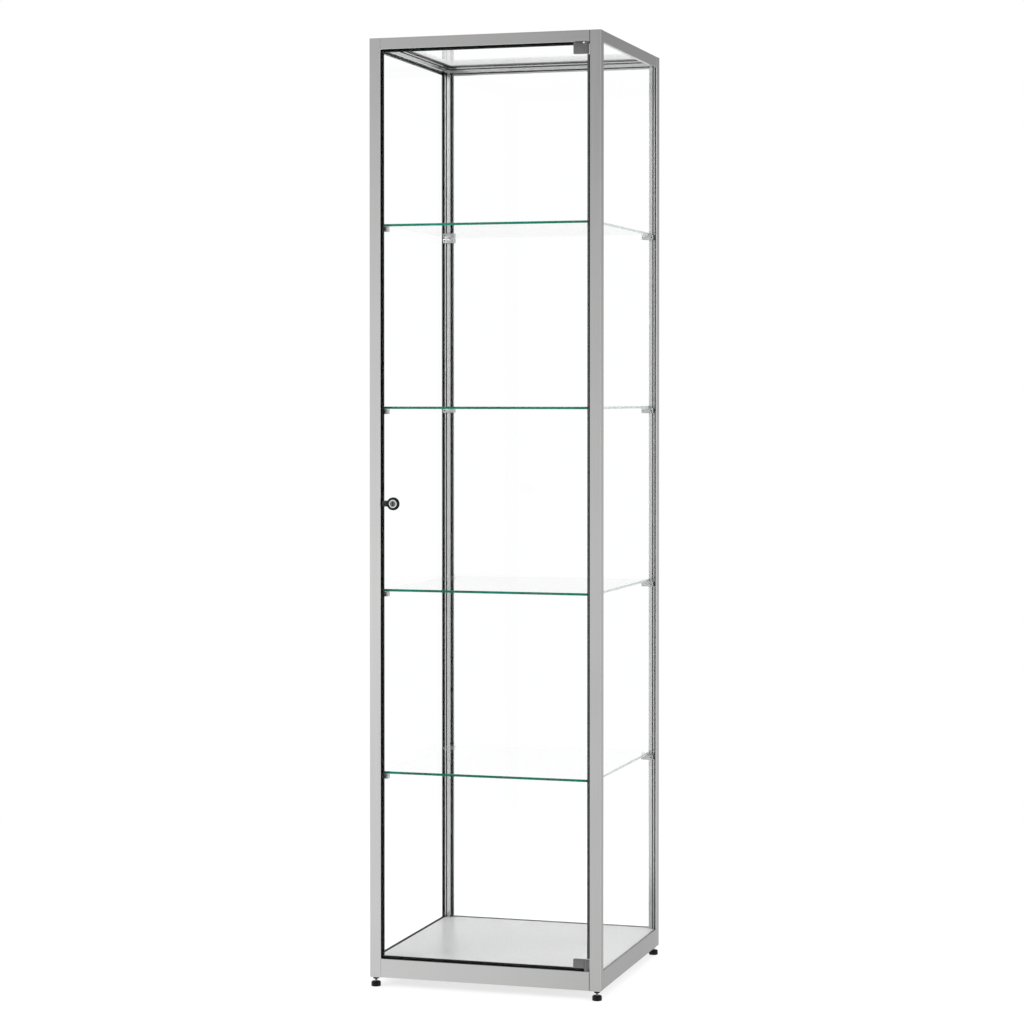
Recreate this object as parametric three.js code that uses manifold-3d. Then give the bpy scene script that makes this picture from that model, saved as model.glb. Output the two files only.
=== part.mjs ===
// Pedestal display case: a tall glazed showcase with an aluminium extrusion frame,
// one hinged glass door with a lock, four adjustable glass shelves and levelling feet.
// Millimetres, +Z up, origin on the floor under the middle. The door faces -Y.
import * as THREE from 'three';
import { mergeVertices } from 'three/addons/utils/BufferGeometryUtils.js';
import Module from 'manifold-3d';

const wasm = await Module();
wasm.setup();

// ---------------------------------------------------------------- driving sizes
// The case
const WIDTH = 500;
const DEPTH = 500;
const HEIGHT = 1984;
const GROUND_CLEARANCE = 20;
const BOTTOM_RAIL_HEIGHT = 40;

// Gaps: FIT between cut or turned pieces, SLIP between flat glass and its bed, RUN on shafts
const FIT = 0.3;
const SLIP = 0.1;
const RUN = 0.1;

// Frame extrusion, measured from its two outer faces
const FLANGE_WIDTH = 24;
const FLANGE_WALL = 1.9;
const FLANGE_BEVEL = 1.1;
const EDGE_BREAK = 0.5;
const CORE_WIDTH = 19;
const GROOVE_DEPTH = 9;
const CELL_WALL = 1.6;
const SLOT_INSET = 4;
const SLOT_MOUTH = 2.8;
const SLOT_HEAD = 5.2;
const SLOT_LIP = 1.6;
const SLOT_HEAD_DEPTH = 2.4;
const POST_CAP = 2.5;

// Glazing
const PANE = 4;
const GASKET_WALL = 0.45;
const GASKET_WEB = 0.6;
const GASKET_LIP = 0.9;
const GLAZING_CLEARANCE = 0.2;

// Floor panel
const PANEL_THICKNESS = 3;

// Door
const DOOR_GLASS = 5;
const DOOR_GAP = 2.5;

// Door seal: a root pressed in the glazing groove, a lip behind it and a bead towards the glass
const SEAL_STANDOFF = 1.1;
const SEAL_BEAD_HEIGHT = 3.1;
const SEAL_BEAD_WIDTH = 1.6;
const SEAL_LIP_THICKNESS = 1.6;
const SEAL_LIP_REACH = 5.5;
const SEAL_ROOT_REACH = 13.4;
const SEAL_SHOULDER = 1.6;

// Pivot hinges
const HINGE_WIDTH = 33;
const HINGE_HEIGHT = 24;
const HINGE_RIM_GAP = 0.4;
const HINGE_SEAL_SPACE = 6;
const HINGE_PLATE = 2.6;
const HINGE_PLATE_RADIUS = 1.5;
const BARREL_RADIUS = 5;
const BARREL_FLANGE_GAP = 0.5;
const PIVOT_RADIUS = 2;
const PIVOT_LENGTH = 17;
const BRACKET_THICKNESS = 2.8;
const BRACKET_REACH = 4.5;
const BRACKET_CORNER = 3;
const BRACKET_SCREW_RADIUS = 1.1;
const BRACKET_SCREW_LENGTH = 7;

// Lock
const LOCK_HEIGHT = 1013;
const LOCK_EDGE_DISTANCE = 26.5;
const ROSETTE_RADIUS = 13.5;
const ROSETTE_HEIGHT = 6;
const ROSETTE_CHAMFER = 1.8;
const PLUG_RADIUS = 9;
const PLUG_SHAFT_RADIUS = 6;
const PLUG_HEAD = 3.5;
const BARREL_BODY_RADIUS = 8.2;
const BARREL_OVERHANG = 1.2;
const KEYHOLE_WIDTH = 1.5;
const KEYHOLE_LENGTH = 9;
const KEYHOLE_DEPTH = 2.2;
const CASE_RADIUS = 10.4;
const CASE_DEPTH = 5.2;
const CASE_CHAMFER = 0.6;
const BOLT_HEIGHT = 12.5;
const BOLT_THICKNESS = 2;
const BOLT_TRAVEL = 5.2;
const BOLT_TAIL = 6;
const BOLT_CLEARANCE = 1;
const CRANK_PIN_RADIUS = 1.25;

// Shelves, by the height of each glass's middle, bottom to top
const SHELF_HEIGHTS = [448.2, 831, 1213.3, 1595];
const SHELF_THICKNESS = 5;
const SHELF_CLEARANCE = 1;

// Shelf supports, measured from the corner's outer faces
const SUPPORT_HEIGHT = 10.6;
const SUPPORT_REACH = 33.5;
const SUPPORT_DEPTH = 14;
const SUPPORT_RADIUS = 1.5;
const SUPPORT_SCREW_RADIUS = 1.7;
const SUPPORT_SCREW_DEPTH = 2.5;

// Levelling feet
const FOOT_INSET = 10;
const PAD_RADIUS = 10;
const PAD_HEIGHT = 10.6;
const PAD_CHAMFER = 1.5;
const PAD_SHOULDER = 2.2;
const STUD_RADIUS = 2.5;
const STUD_LENGTH = 27;
const COLLAR_RADIUS = 6.2;
const COLLAR_HEIGHT = 4.2;
const INSERT_RADIUS = 3.8;
const INSERT_LENGTH = 24;

// Facets of a full turn and of a rounded corner, and the reach of a cutter past what it cuts
const ROUND_STEPS = 24;
const CORNER_STEPS = 3;
const OVERSHOOT = 1;
const WELD_DISTANCE = 1e-4;

// ---------------------------------------------------------------- derived sizes
const GLAZING_BED = GASKET_WALL + 2 * SLIP;
const PANE_OUTER = FLANGE_WALL + GLAZING_BED;
const GROOVE_INNER = PANE_OUTER + PANE + GLAZING_BED;
const GROOVE_BOTTOM = CORE_WIDTH - GROOVE_DEPTH;
const PANE_INSET = GROOVE_BOTTOM + 2 * GLAZING_CLEARANCE + GASKET_WEB;
const SLOT_CENTRE = GROOVE_INNER + SLOT_INSET;
const SLOT_FLOOR = CORE_WIDTH - SLOT_LIP - SLOT_HEAD_DEPTH;
const FRAME_HEIGHT = HEIGHT - GROUND_CLEARANCE;
const RAIL_START = CORE_WIDTH + FIT;
const BED_DROP = FLANGE_WIDTH - CORE_WIDTH;
const BED_TOP = GROUND_CLEARANCE + BOTTOM_RAIL_HEIGHT - BED_DROP;

// The door opening between the flanges
const OPENING_LEFT = -WIDTH / 2 + FLANGE_WIDTH;
const OPENING_RIGHT = WIDTH / 2 - FLANGE_WIDTH;
const OPENING_BOTTOM = GROUND_CLEARANCE + BOTTOM_RAIL_HEIGHT;
const OPENING_TOP = HEIGHT - FLANGE_WIDTH;
const FRONT = -DEPTH / 2;

const HINGE_AXIS_X = OPENING_RIGHT - BARREL_FLANGE_GAP - BARREL_RADIUS;
const HINGE_LEFT = OPENING_RIGHT - BARREL_FLANGE_GAP - HINGE_WIDTH;
const BARREL_DROP = FIT + BRACKET_THICKNESS + FIT;
const HINGE_FOOT = HINGE_RIM_GAP + HINGE_HEIGHT;
const LOCK_X = OPENING_LEFT + DOOR_GAP + LOCK_EDGE_DISTANCE;

// Depths in the lock behind the case's front plane, and the throw of its crank pin
const BARREL_END = DOOR_GLASS + BARREL_OVERHANG;
const BOLT_FRONT = BARREL_END + 2 * FIT;
const BOLT_BACK = BOLT_FRONT + BOLT_THICKNESS;
const CRANK_REACH = BOLT_TRAVEL / 2;

// ---------------------------------------------------------------- geometry helpers
// A closed outline, always counter-clockwise
function polygon(points) {
  const corners = points.map(([x, y]) => new THREE.Vector2(x, y));
  return new THREE.Shape(THREE.ShapeUtils.area(corners) < 0 ? corners.reverse() : corners);
}

function rectanglePoints(x0, y0, x1, y1) {
  return [[x0, y0], [x1, y0], [x1, y1], [x0, y1]];
}

function rectangle(x0, y0, x1, y1) {
  return polygon(rectanglePoints(x0, y0, x1, y1));
}

function circle(x, y, radius) {
  const steps = Array.from({ length: ROUND_STEPS }, (_, i) => (2 * Math.PI * i) / ROUND_STEPS);
  return polygon(steps.map((a) => [x + radius * Math.cos(a), y + radius * Math.sin(a)]));
}

function roundedRectangle(x0, y0, x1, y1, radius) {
  const shape = new THREE.Shape();
  shape.moveTo(x0 + radius, y0);
  shape.lineTo(x1 - radius, y0);
  shape.absarc(x1 - radius, y0 + radius, radius, -Math.PI / 2, 0);
  shape.lineTo(x1, y1 - radius);
  shape.absarc(x1 - radius, y1 - radius, radius, 0, Math.PI / 2);
  shape.lineTo(x0 + radius, y1);
  shape.absarc(x0 + radius, y1 - radius, radius, Math.PI / 2, Math.PI);
  shape.lineTo(x0, y0 + radius);
  shape.absarc(x0 + radius, y0 + radius, radius, Math.PI, 1.5 * Math.PI);
  return shape;
}

// A rectangle whose four corners are cut out square, to pass the posts
function notchedRectangle(x0, y0, x1, y1, notch) {
  return polygon([
    [x0 + notch, y0], [x1 - notch, y0], [x1 - notch, y0 + notch], [x1, y0 + notch],
    [x1, y1 - notch], [x1 - notch, y1 - notch], [x1 - notch, y1], [x0 + notch, y1],
    [x0 + notch, y1 - notch], [x0, y1 - notch], [x0, y0 + notch], [x0 + notch, y0 + notch],
  ]);
}

function extrude(shape, depth) {
  return new THREE.ExtrudeGeometry(shape, { depth, bevelEnabled: false, curveSegments: CORNER_STEPS });
}

// Prisms between two planes: a shape drawn in (x, y), in (y, z) or in (x, z)
function alongZ(shape, z0, z1) {
  return extrude(shape, z1 - z0).translate(0, 0, z0);
}

function alongX(shape, x0, x1) {
  const axes = new THREE.Matrix4().makeBasis(
    new THREE.Vector3(0, 1, 0), new THREE.Vector3(0, 0, 1), new THREE.Vector3(1, 0, 0));
  return extrude(shape, x1 - x0).applyMatrix4(axes).translate(x0, 0, 0);
}

function alongY(shape, y0, y1) {
  const axes = new THREE.Matrix4().makeBasis(
    new THREE.Vector3(1, 0, 0), new THREE.Vector3(0, 0, 1), new THREE.Vector3(0, -1, 0));
  return extrude(shape, y1 - y0).applyMatrix4(axes).translate(0, y1, 0);
}

function box(x0, x1, y0, y1, z0, z1) {
  const block = new THREE.BoxGeometry(x1 - x0, y1 - y0, z1 - z0);
  return block.translate((x0 + x1) / 2, (y0 + y1) / 2, (z0 + z1) / 2);
}

// A turned piece about Z from (radius, height) points, closed on the axis or on itself
function turned(profile) {
  const points = profile.map(([radius, height]) => new THREE.Vector2(radius, height));
  return new THREE.LatheGeometry(points, ROUND_STEPS).rotateX(Math.PI / 2);
}

function rod(radius, z0, z1) {
  return turned([[0, z0], [radius, z0], [radius, z1], [0, z1]]);
}

// A bore whose flats, not its corners, clear the given radius
function boreRadius(radius) {
  return radius / Math.cos(Math.PI / ROUND_STEPS);
}

// Turns a piece made about Z so that its height runs inwards, along +Y
function facingFront(geometry) {
  return geometry.rotateX(-Math.PI / 2);
}

function toSolid(geometry) {
  const plain = geometry.clone();
  plain.deleteAttribute('normal');
  plain.deleteAttribute('uv');
  const merged = mergeVertices(plain, WELD_DISTANCE);
  return new wasm.Manifold(new wasm.Mesh({
    numProp: 3,
    vertProperties: new Float32Array(merged.attributes.position.array),
    triVerts: new Uint32Array(merged.index.array),
  }));
}

function toGeometry(solid) {
  const mesh = solid.getMesh();
  const geometry = new THREE.BufferGeometry();
  geometry.setAttribute('position', new THREE.BufferAttribute(mesh.vertProperties, 3));
  geometry.setIndex(new THREE.BufferAttribute(mesh.triVerts, 1));
  return geometry;
}

function join(first, ...others) {
  return toGeometry(others.reduce((sum, next) => sum.add(toSolid(next)), toSolid(first)));
}

function cut(first, ...others) {
  return toGeometry(others.reduce((rest, next) => rest.subtract(toSolid(next)), toSolid(first)));
}

function common(first, second) {
  return toGeometry(toSolid(first).intersect(toSolid(second)));
}

// ---------------------------------------------------------------- frame extrusion
// The post and top rail section. Both outer faces carry a flange that stands past the core;
// between flange and core is the glazing groove, and each inner face has a T-slot.
function cornerSection(signU, signV) {
  const mouth = [SLOT_CENTRE - SLOT_MOUTH / 2, SLOT_CENTRE + SLOT_MOUTH / 2];
  const head = [SLOT_CENTRE - SLOT_HEAD / 2, SLOT_CENTRE + SLOT_HEAD / 2];
  const lip = CORE_WIDTH - SLOT_LIP;
  const half = [
    [EDGE_BREAK, 0],
    [FLANGE_WIDTH - FLANGE_BEVEL, 0],
    [FLANGE_WIDTH, FLANGE_BEVEL],
    [FLANGE_WIDTH, FLANGE_WALL],
    [GROOVE_BOTTOM, FLANGE_WALL],
    [GROOVE_BOTTOM, GROOVE_INNER],
    [CORE_WIDTH, GROOVE_INNER],
    [CORE_WIDTH, mouth[0]],
    [lip, mouth[0]],
    [lip, head[0]],
    [SLOT_FLOOR, head[0]],
    [SLOT_FLOOR, head[1]],
    [lip, head[1]],
    [lip, mouth[1]],
    [CORE_WIDTH, mouth[1]],
  ];
  const otherHalf = half.map(([u, v]) => [v, u]).reverse();
  const outline = [...half, [CORE_WIDTH, CORE_WIDTH], ...otherHalf];
  const cornerCell = rectanglePoints(FLANGE_WALL, FLANGE_WALL, GROOVE_INNER, GROOVE_INNER);
  const coreStart = GROOVE_INNER + CELL_WALL;
  const coreEnd = SLOT_FLOOR - CELL_WALL;
  const coreCell = rectanglePoints(coreStart, coreStart, coreEnd, coreEnd);
  const place = (points) => polygon(points.map(([u, v]) => [signU * u, signV * v]));
  const section = place(outline);
  section.holes.push(place(cornerCell), place(coreCell));
  return section;
}

// The bottom rail section, z from its underside: a tall fascia with the same glazing groove
function bottomRailSection() {
  const bed = BOTTOM_RAIL_HEIGHT - BED_DROP;
  const grooveFloor = bed - GROOVE_DEPTH;
  const section = polygon([
    [EDGE_BREAK, 0],
    [CORE_WIDTH, 0],
    [CORE_WIDTH, bed],
    [GROOVE_INNER, bed],
    [GROOVE_INNER, grooveFloor],
    [FLANGE_WALL, grooveFloor],
    [FLANGE_WALL, BOTTOM_RAIL_HEIGHT],
    [FLANGE_BEVEL, BOTTOM_RAIL_HEIGHT],
    [0, BOTTOM_RAIL_HEIGHT - FLANGE_BEVEL],
    [0, EDGE_BREAK],
  ]);
  const innerWall = CORE_WIDTH - CELL_WALL;
  section.holes.push(
    rectangle(FLANGE_WALL, CELL_WALL, innerWall, grooveFloor - CELL_WALL),
    rectangle(GROOVE_INNER + CELL_WALL, grooveFloor + CELL_WALL / 2, innerWall, bed - CELL_WALL),
  );
  return section;
}

// Plan of a rail between two posts, x along it and y inwards: square against the posts'
// flanges and cores, mitred where its inner edge meets the next rail
function railPlan(length) {
  const flangeStart = FLANGE_WIDTH + FIT;
  const fascia = FLANGE_WALL + FIT;
  const inner = FLANGE_WIDTH + OVERSHOOT;
  const end = [
    [flangeStart, -OVERSHOOT], [flangeStart, fascia], [RAIL_START, fascia],
    [RAIL_START, CORE_WIDTH], [inner + FIT, inner],
  ];
  return polygon([...end, ...end.map(([x, y]) => [length - x, y]).reverse()]);
}

function topRail(length) {
  const bar = alongX(cornerSection(1, -1), RAIL_START, length - RAIL_START);
  return common(bar, alongZ(railPlan(length), -FLANGE_WIDTH - OVERSHOOT, OVERSHOOT));
}

function bottomRail(length) {
  const bar = alongX(bottomRailSection(), RAIL_START, length - RAIL_START);
  const height = BOTTOM_RAIL_HEIGHT + OVERSHOOT;
  return common(bar, alongZ(railPlan(length), -OVERSHOOT, height));
}

// A post stands from the underside of the frame to its top. Its top end is closed flush by
// the corner connector, and its lower end is bored for the foot's insert.
function post() {
  const bar = alongZ(cornerSection(1, 1), 0, FRAME_HEIGHT);
  const corner = rectangle(EDGE_BREAK, EDGE_BREAK, CORE_WIDTH, CORE_WIDTH);
  const cap = alongZ(corner, FRAME_HEIGHT - POST_CAP, FRAME_HEIGHT);
  const bore = rod(boreRadius(INSERT_RADIUS + FIT), -OVERSHOOT, INSERT_LENGTH + FIT);
  return cut(join(bar, cap), bore.translate(FOOT_INSET, FOOT_INSET, 0));
}

// ---------------------------------------------------------------- glazing
// A pane and its rubber channel, both drawn flat: thickness along z from the outer flange
function paneOutline(width, height) {
  return rectangle(PANE_INSET, PANE_INSET, width - PANE_INSET, height - PANE_INSET);
}

function gasketOutline(width, height) {
  const edge = GROOVE_BOTTOM + GLAZING_CLEARANCE;
  return rectangle(edge, edge, width - edge, height - edge);
}

// The inner wall of the channel ends in a lip that shows on the pane beside the core
function gasketRing(outer, window, innerWindow, pane) {
  const front = FLANGE_WALL + SLIP;
  const back = GROOVE_INNER - SLIP;
  const lipFront = back - GASKET_WALL;
  const channel = alongZ(pane, front + GASKET_WALL, lipFront);
  const opening = alongZ(window, front - OVERSHOOT, lipFront);
  const innerOpening = alongZ(innerWindow, lipFront - SLIP, back + OVERSHOOT);
  return cut(alongZ(outer, front, back), opening, innerOpening, channel);
}

function sidePane(width, height) {
  return alongZ(paneOutline(width, height), PANE_OUTER, PANE_OUTER + PANE);
}

function sideGasket(width, height) {
  const mouth = CORE_WIDTH;
  const lip = mouth + GASKET_LIP;
  const reach = PANE_INSET - GLAZING_CLEARANCE;
  return gasketRing(
    gasketOutline(width, height),
    rectangle(mouth, mouth, width - mouth, height - mouth),
    rectangle(lip, lip, width - lip, height - lip),
    rectangle(reach, reach, width - reach, height - reach),
  );
}

// The top pane and its channel pass the posts at four cut corners
function topPane() {
  const notch = CORE_WIDTH + FIT + GASKET_WEB + GLAZING_CLEARANCE - PANE_INSET;
  const outline = notchedRectangle(
    PANE_INSET, PANE_INSET, WIDTH - PANE_INSET, DEPTH - PANE_INSET, notch);
  return alongZ(outline, PANE_OUTER, PANE_OUTER + PANE);
}

function topGasket() {
  const edge = GROOVE_BOTTOM + GLAZING_CLEARANCE;
  const reach = PANE_INSET - GLAZING_CLEARANCE;
  const mouth = CORE_WIDTH;
  const lip = mouth + GASKET_LIP;
  const postCorner = CORE_WIDTH + FIT;
  const paneCorner = postCorner + GASKET_WEB;
  const windowCorner = FLANGE_WIDTH - GASKET_WEB;
  return gasketRing(
    notchedRectangle(edge, edge, WIDTH - edge, DEPTH - edge, postCorner - edge),
    notchedRectangle(mouth, mouth, WIDTH - mouth, DEPTH - mouth, windowCorner - mouth),
    notchedRectangle(lip, lip, WIDTH - lip, DEPTH - lip, windowCorner - mouth),
    notchedRectangle(reach, reach, WIDTH - reach, DEPTH - reach, paneCorner - reach),
  );
}

// ---------------------------------------------------------------- floor panel
function basePanel() {
  const inset = GROOVE_INNER + GLAZING_CLEARANCE;
  const outline = notchedRectangle(
    -WIDTH / 2 + inset, -DEPTH / 2 + inset, WIDTH / 2 - inset, DEPTH / 2 - inset,
    RAIL_START - inset);
  const bottom = BED_TOP + SLIP;
  const top = bottom + PANEL_THICKNESS;
  return cut(alongZ(outline, bottom, top), bracketScrewHole(bottom - OVERSHOOT, top + OVERSHOOT));
}

// ---------------------------------------------------------------- door seals
// Each layer of the seal is a bracket shape around the opening, open on the hinge side
function sealBracket(outwards, inwards, end) {
  return polygon([
    [end, OPENING_TOP + outwards],
    [OPENING_LEFT - outwards, OPENING_TOP + outwards],
    [OPENING_LEFT - outwards, OPENING_BOTTOM - outwards],
    [end, OPENING_BOTTOM - outwards],
    [end, OPENING_BOTTOM + inwards],
    [OPENING_LEFT + inwards, OPENING_BOTTOM + inwards],
    [OPENING_LEFT + inwards, OPENING_TOP - inwards],
    [end, OPENING_TOP - inwards],
  ]);
}

function sealStrip(outwards, inwards) {
  const low = OPENING_BOTTOM + HINGE_FOOT + FIT;
  const high = OPENING_TOP - HINGE_FOOT - FIT;
  return rectangle(OPENING_RIGHT - inwards, low, OPENING_RIGHT + outwards, high);
}

// Root in the groove, a shoulder at its mouth, and the lip and its bead behind the door's edge
function sealLayers(layer) {
  const front = FRONT + FLANGE_WALL + SLIP;
  const rootBack = FRONT + GROOVE_INNER - SLIP;
  const beadFront = FRONT + DOOR_GLASS + SEAL_STANDOFF;
  const lipFront = beadFront + SEAL_BEAD_HEIGHT;
  const lipBack = lipFront + SEAL_LIP_THICKNESS;
  return join(
    alongY(layer(SEAL_ROOT_REACH, 0), front, rootBack),
    alongY(layer(SEAL_SHOULDER, 0), front, lipBack),
    alongY(layer(SEAL_SHOULDER, SEAL_LIP_REACH), lipFront, lipBack),
    alongY(layer(SEAL_BEAD_WIDTH - SEAL_LIP_REACH, SEAL_LIP_REACH), beadFront, lipBack),
  );
}

// Behind the bottom hinge's clamp the lip alone runs on, up to the pivot's bracket
function sealTongue() {
  const lipFront = FRONT + DOOR_GLASS + SEAL_STANDOFF + SEAL_BEAD_HEIGHT;
  return box(
    HINGE_LEFT - FIT - OVERSHOOT, HINGE_AXIS_X - BRACKET_REACH - FIT,
    lipFront, lipFront + SEAL_LIP_THICKNESS,
    OPENING_BOTTOM - SEAL_SHOULDER, OPENING_BOTTOM + SEAL_LIP_REACH);
}

// The bolt goes through the bead and the shoulder, in front of the lip
function doorSeal() {
  const end = HINGE_LEFT - FIT;
  const layers = sealLayers((outwards, inwards) => sealBracket(outwards, inwards, end));
  const seal = join(layers, sealTongue());
  const half = BOLT_HEIGHT / 2 + BOLT_CLEARANCE;
  const back = FRONT + BOLT_BACK + FIT;
  const passage = (x0, x1, front) => box(x0, x1, front, back, LOCK_HEIGHT - half, LOCK_HEIGHT + half);
  return cut(
    seal,
    passage(OPENING_LEFT, OPENING_LEFT + SEAL_LIP_REACH + OVERSHOOT, FRONT + DOOR_GLASS),
    passage(OPENING_LEFT - BED_DROP, OPENING_LEFT + OVERSHOOT, FRONT + BOLT_FRONT - FIT),
  );
}

function hingeSideSeal() {
  return sealLayers(sealStrip);
}

// ---------------------------------------------------------------- door
// The glass is cut out at both hinge corners and bored for the lock
function doorGlass() {
  const left = OPENING_LEFT + DOOR_GAP;
  const right = OPENING_RIGHT - DOOR_GAP;
  const low = OPENING_BOTTOM + DOOR_GAP;
  const high = OPENING_TOP - DOOR_GAP;
  const notchX = HINGE_AXIS_X - BARREL_RADIUS - FIT;
  const notchRise = HINGE_FOOT + FIT - DOOR_GAP;
  const outline = polygon([
    [left, low], [notchX, low], [notchX, low + notchRise], [right, low + notchRise],
    [right, high - notchRise], [notchX, high - notchRise], [notchX, high], [left, high],
  ]);
  outline.holes.push(circle(LOCK_X, LOCK_HEIGHT, boreRadius(BARREL_BODY_RADIUS + FIT)));
  return alongY(outline, FRONT, FRONT + DOOR_GLASS);
}

// A clamp of the bottom hinge about its own axis: z is the height above the opening's edge.
// Two plates hold the glass, from the given height up, and run into the knuckle that turns
// on the pivot.
function hingeClamp(rimGap) {
  const plateLeft = HINGE_LEFT - HINGE_AXIS_X;
  const plateRight = -BARREL_RADIUS + OVERSHOOT;
  const rimRight = -BARREL_RADIUS - FIT - HINGE_PLATE;
  const top = HINGE_FOOT;
  const low = Math.max(rimGap, BARREL_DROP);
  const plate = (right, z) => roundedRectangle(plateLeft, z, right, top, HINGE_PLATE_RADIUS);
  const glassBack = DOOR_GLASS + SLIP;
  const knuckle = rod(BARREL_RADIUS, BARREL_DROP, top);
  const bridge = box(-BARREL_RADIUS, 0, -SLIP - HINGE_PLATE, glassBack, BARREL_DROP, top);
  const body = join(
    alongY(plate(plateRight, low), -SLIP - HINGE_PLATE, -SLIP),
    alongY(plate(rimRight, rimGap), -SLIP - HINGE_PLATE, -SLIP),
    alongY(plate(plateRight, low), glassBack, glassBack + HINGE_PLATE),
    bridge,
    box(-BARREL_RADIUS, plateRight, -SLIP, glassBack + HINGE_PLATE, BARREL_DROP, top),
    knuckle,
  );
  return cut(body, rod(boreRadius(PIVOT_RADIUS + RUN), 0, top + OVERSHOOT));
}

// A pivot bracket about the same axis: a plate over the rail's edge, the pivot pin, and a
// foot that stands on the rail behind the flange and is held by the given fixing
function pivotBracket(footDrop, fixing) {
  const right = BARREL_RADIUS + BARREL_FLANGE_GAP - FIT;
  const left = -BRACKET_REACH;
  const back = CORE_WIDTH - CELL_WALL;
  const plate = roundedRectangle(left, -BRACKET_REACH, right, back, BRACKET_CORNER);
  const footFront = GROOVE_INNER + FIT;
  return join(
    alongZ(plate, FIT, FIT + BRACKET_THICKNESS),
    rod(PIVOT_RADIUS, FIT + BRACKET_THICKNESS / 2, FIT + BRACKET_THICKNESS + PIVOT_LENGTH),
    box(left, right, footFront, back, -footDrop, FIT + BRACKET_THICKNESS / 2),
    fixing.translate(0, SLOT_CENTRE, -footDrop),
  );
}

// The bottom bracket's screw goes through the panel into the rail
function bracketScrew() {
  return rod(BRACKET_SCREW_RADIUS, -BRACKET_SCREW_LENGTH, FIT);
}

// The top bracket hangs on a nut in the rail's T-slot
function bracketSlotNut() {
  const lip = FIT + SLOT_LIP + FIT;
  const floor = CORE_WIDTH - SLOT_FLOOR;
  const halfHead = SLOT_HEAD / 2 - FIT;
  return join(
    rod(BRACKET_SCREW_RADIUS, -floor, FIT),
    box(-BARREL_RADIUS, BARREL_RADIUS, -halfHead, halfHead, -floor, -lip),
  );
}

function bracketScrewHole(z0, z1) {
  const hole = rod(boreRadius(BRACKET_SCREW_RADIUS + FIT), z0, z1);
  return hole.translate(HINGE_AXIS_X, FRONT + SLOT_CENTRE, 0);
}

// ---------------------------------------------------------------- lock, about its own axis
// Heights are depths behind the case's front plane; facingFront lays them along +Y.
function lockBarrel() {
  const plugBore = boreRadius(PLUG_RADIUS + RUN);
  const shaftBore = boreRadius(PLUG_SHAFT_RADIUS + RUN);
  const headFloor = -ROSETTE_HEIGHT + FIT + PLUG_HEAD + RUN;
  return facingFront(turned([
    [plugBore, headFloor],
    [plugBore, -ROSETTE_HEIGHT],
    [ROSETTE_RADIUS - ROSETTE_CHAMFER, -ROSETTE_HEIGHT],
    [ROSETTE_RADIUS, -ROSETTE_HEIGHT + ROSETTE_CHAMFER],
    [ROSETTE_RADIUS, -SLIP],
    [BARREL_BODY_RADIUS, -SLIP],
    [BARREL_BODY_RADIUS, BARREL_END],
    [shaftBore, BARREL_END],
    [shaftBore, headFloor],
    [plugBore, headFloor],
  ]));
}

// The plug turns in the barrel; the crank pin behind it throws the bolt
function lockPlug() {
  const face = -ROSETTE_HEIGHT + FIT;
  const shaftEnd = BARREL_END + FIT;
  const body = turned([
    [0, face], [PLUG_RADIUS, face], [PLUG_RADIUS, face + PLUG_HEAD],
    [PLUG_SHAFT_RADIUS, face + PLUG_HEAD], [PLUG_SHAFT_RADIUS, shaftEnd], [0, shaftEnd],
  ]);
  const pin = rod(CRANK_PIN_RADIUS, shaftEnd - FIT, BOLT_BACK);
  const keyhole = box(-KEYHOLE_WIDTH / 2, KEYHOLE_WIDTH / 2,
    -KEYHOLE_LENGTH / 2, KEYHOLE_LENGTH / 2, face - OVERSHOOT, face + KEYHOLE_DEPTH);
  return facingFront(cut(join(body, pin.translate(CRANK_REACH, -CRANK_REACH, 0)), keyhole));
}

// A flat bolt with an upright slot for the crank pin
function lockBolt() {
  const tip = OPENING_LEFT + 2 * FIT - LOCK_X;
  const half = BOLT_HEIGHT / 2;
  const slotHalf = CRANK_PIN_RADIUS + FIT;
  const slotLow = CRANK_REACH - slotHalf;
  const slotHigh = CRANK_REACH * Math.SQRT2 + slotHalf;
  const bar = rectangle(tip, -half, BOLT_TAIL, half);
  bar.holes.push(rectangle(CRANK_REACH - slotHalf, slotLow, CRANK_REACH + slotHalf, slotHigh));
  return alongY(bar, BOLT_FRONT, BOLT_BACK);
}

// The case screwed on behind the glass takes the barrel's end and guides the bolt
function lockCase() {
  const front = DOOR_GLASS + SLIP;
  const back = front + CASE_DEPTH;
  const half = BOLT_HEIGHT / 2 + FIT;
  const shell = facingFront(turned([
    [0, front], [CASE_RADIUS, front], [CASE_RADIUS, back - CASE_CHAMFER],
    [CASE_RADIUS - CASE_CHAMFER, back], [0, back],
  ]));
  const recess = rod(boreRadius(BARREL_BODY_RADIUS + FIT), front - OVERSHOOT, BOLT_FRONT);
  const channel = box(-CASE_RADIUS - OVERSHOOT, BOLT_TAIL + FIT,
    BOLT_FRONT - FIT, BOLT_BACK + FIT, -half, half);
  return cut(shell, facingFront(recess), channel);
}

// ---------------------------------------------------------------- shelves
function shelfGlass() {
  const halfWidth = WIDTH / 2 - CORE_WIDTH - SHELF_CLEARANCE;
  const halfDepth = DEPTH / 2 - CORE_WIDTH - SHELF_CLEARANCE;
  const half = SHELF_THICKNESS / 2;
  return box(-halfWidth, halfWidth, -halfDepth, halfDepth, -half, half);
}

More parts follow.
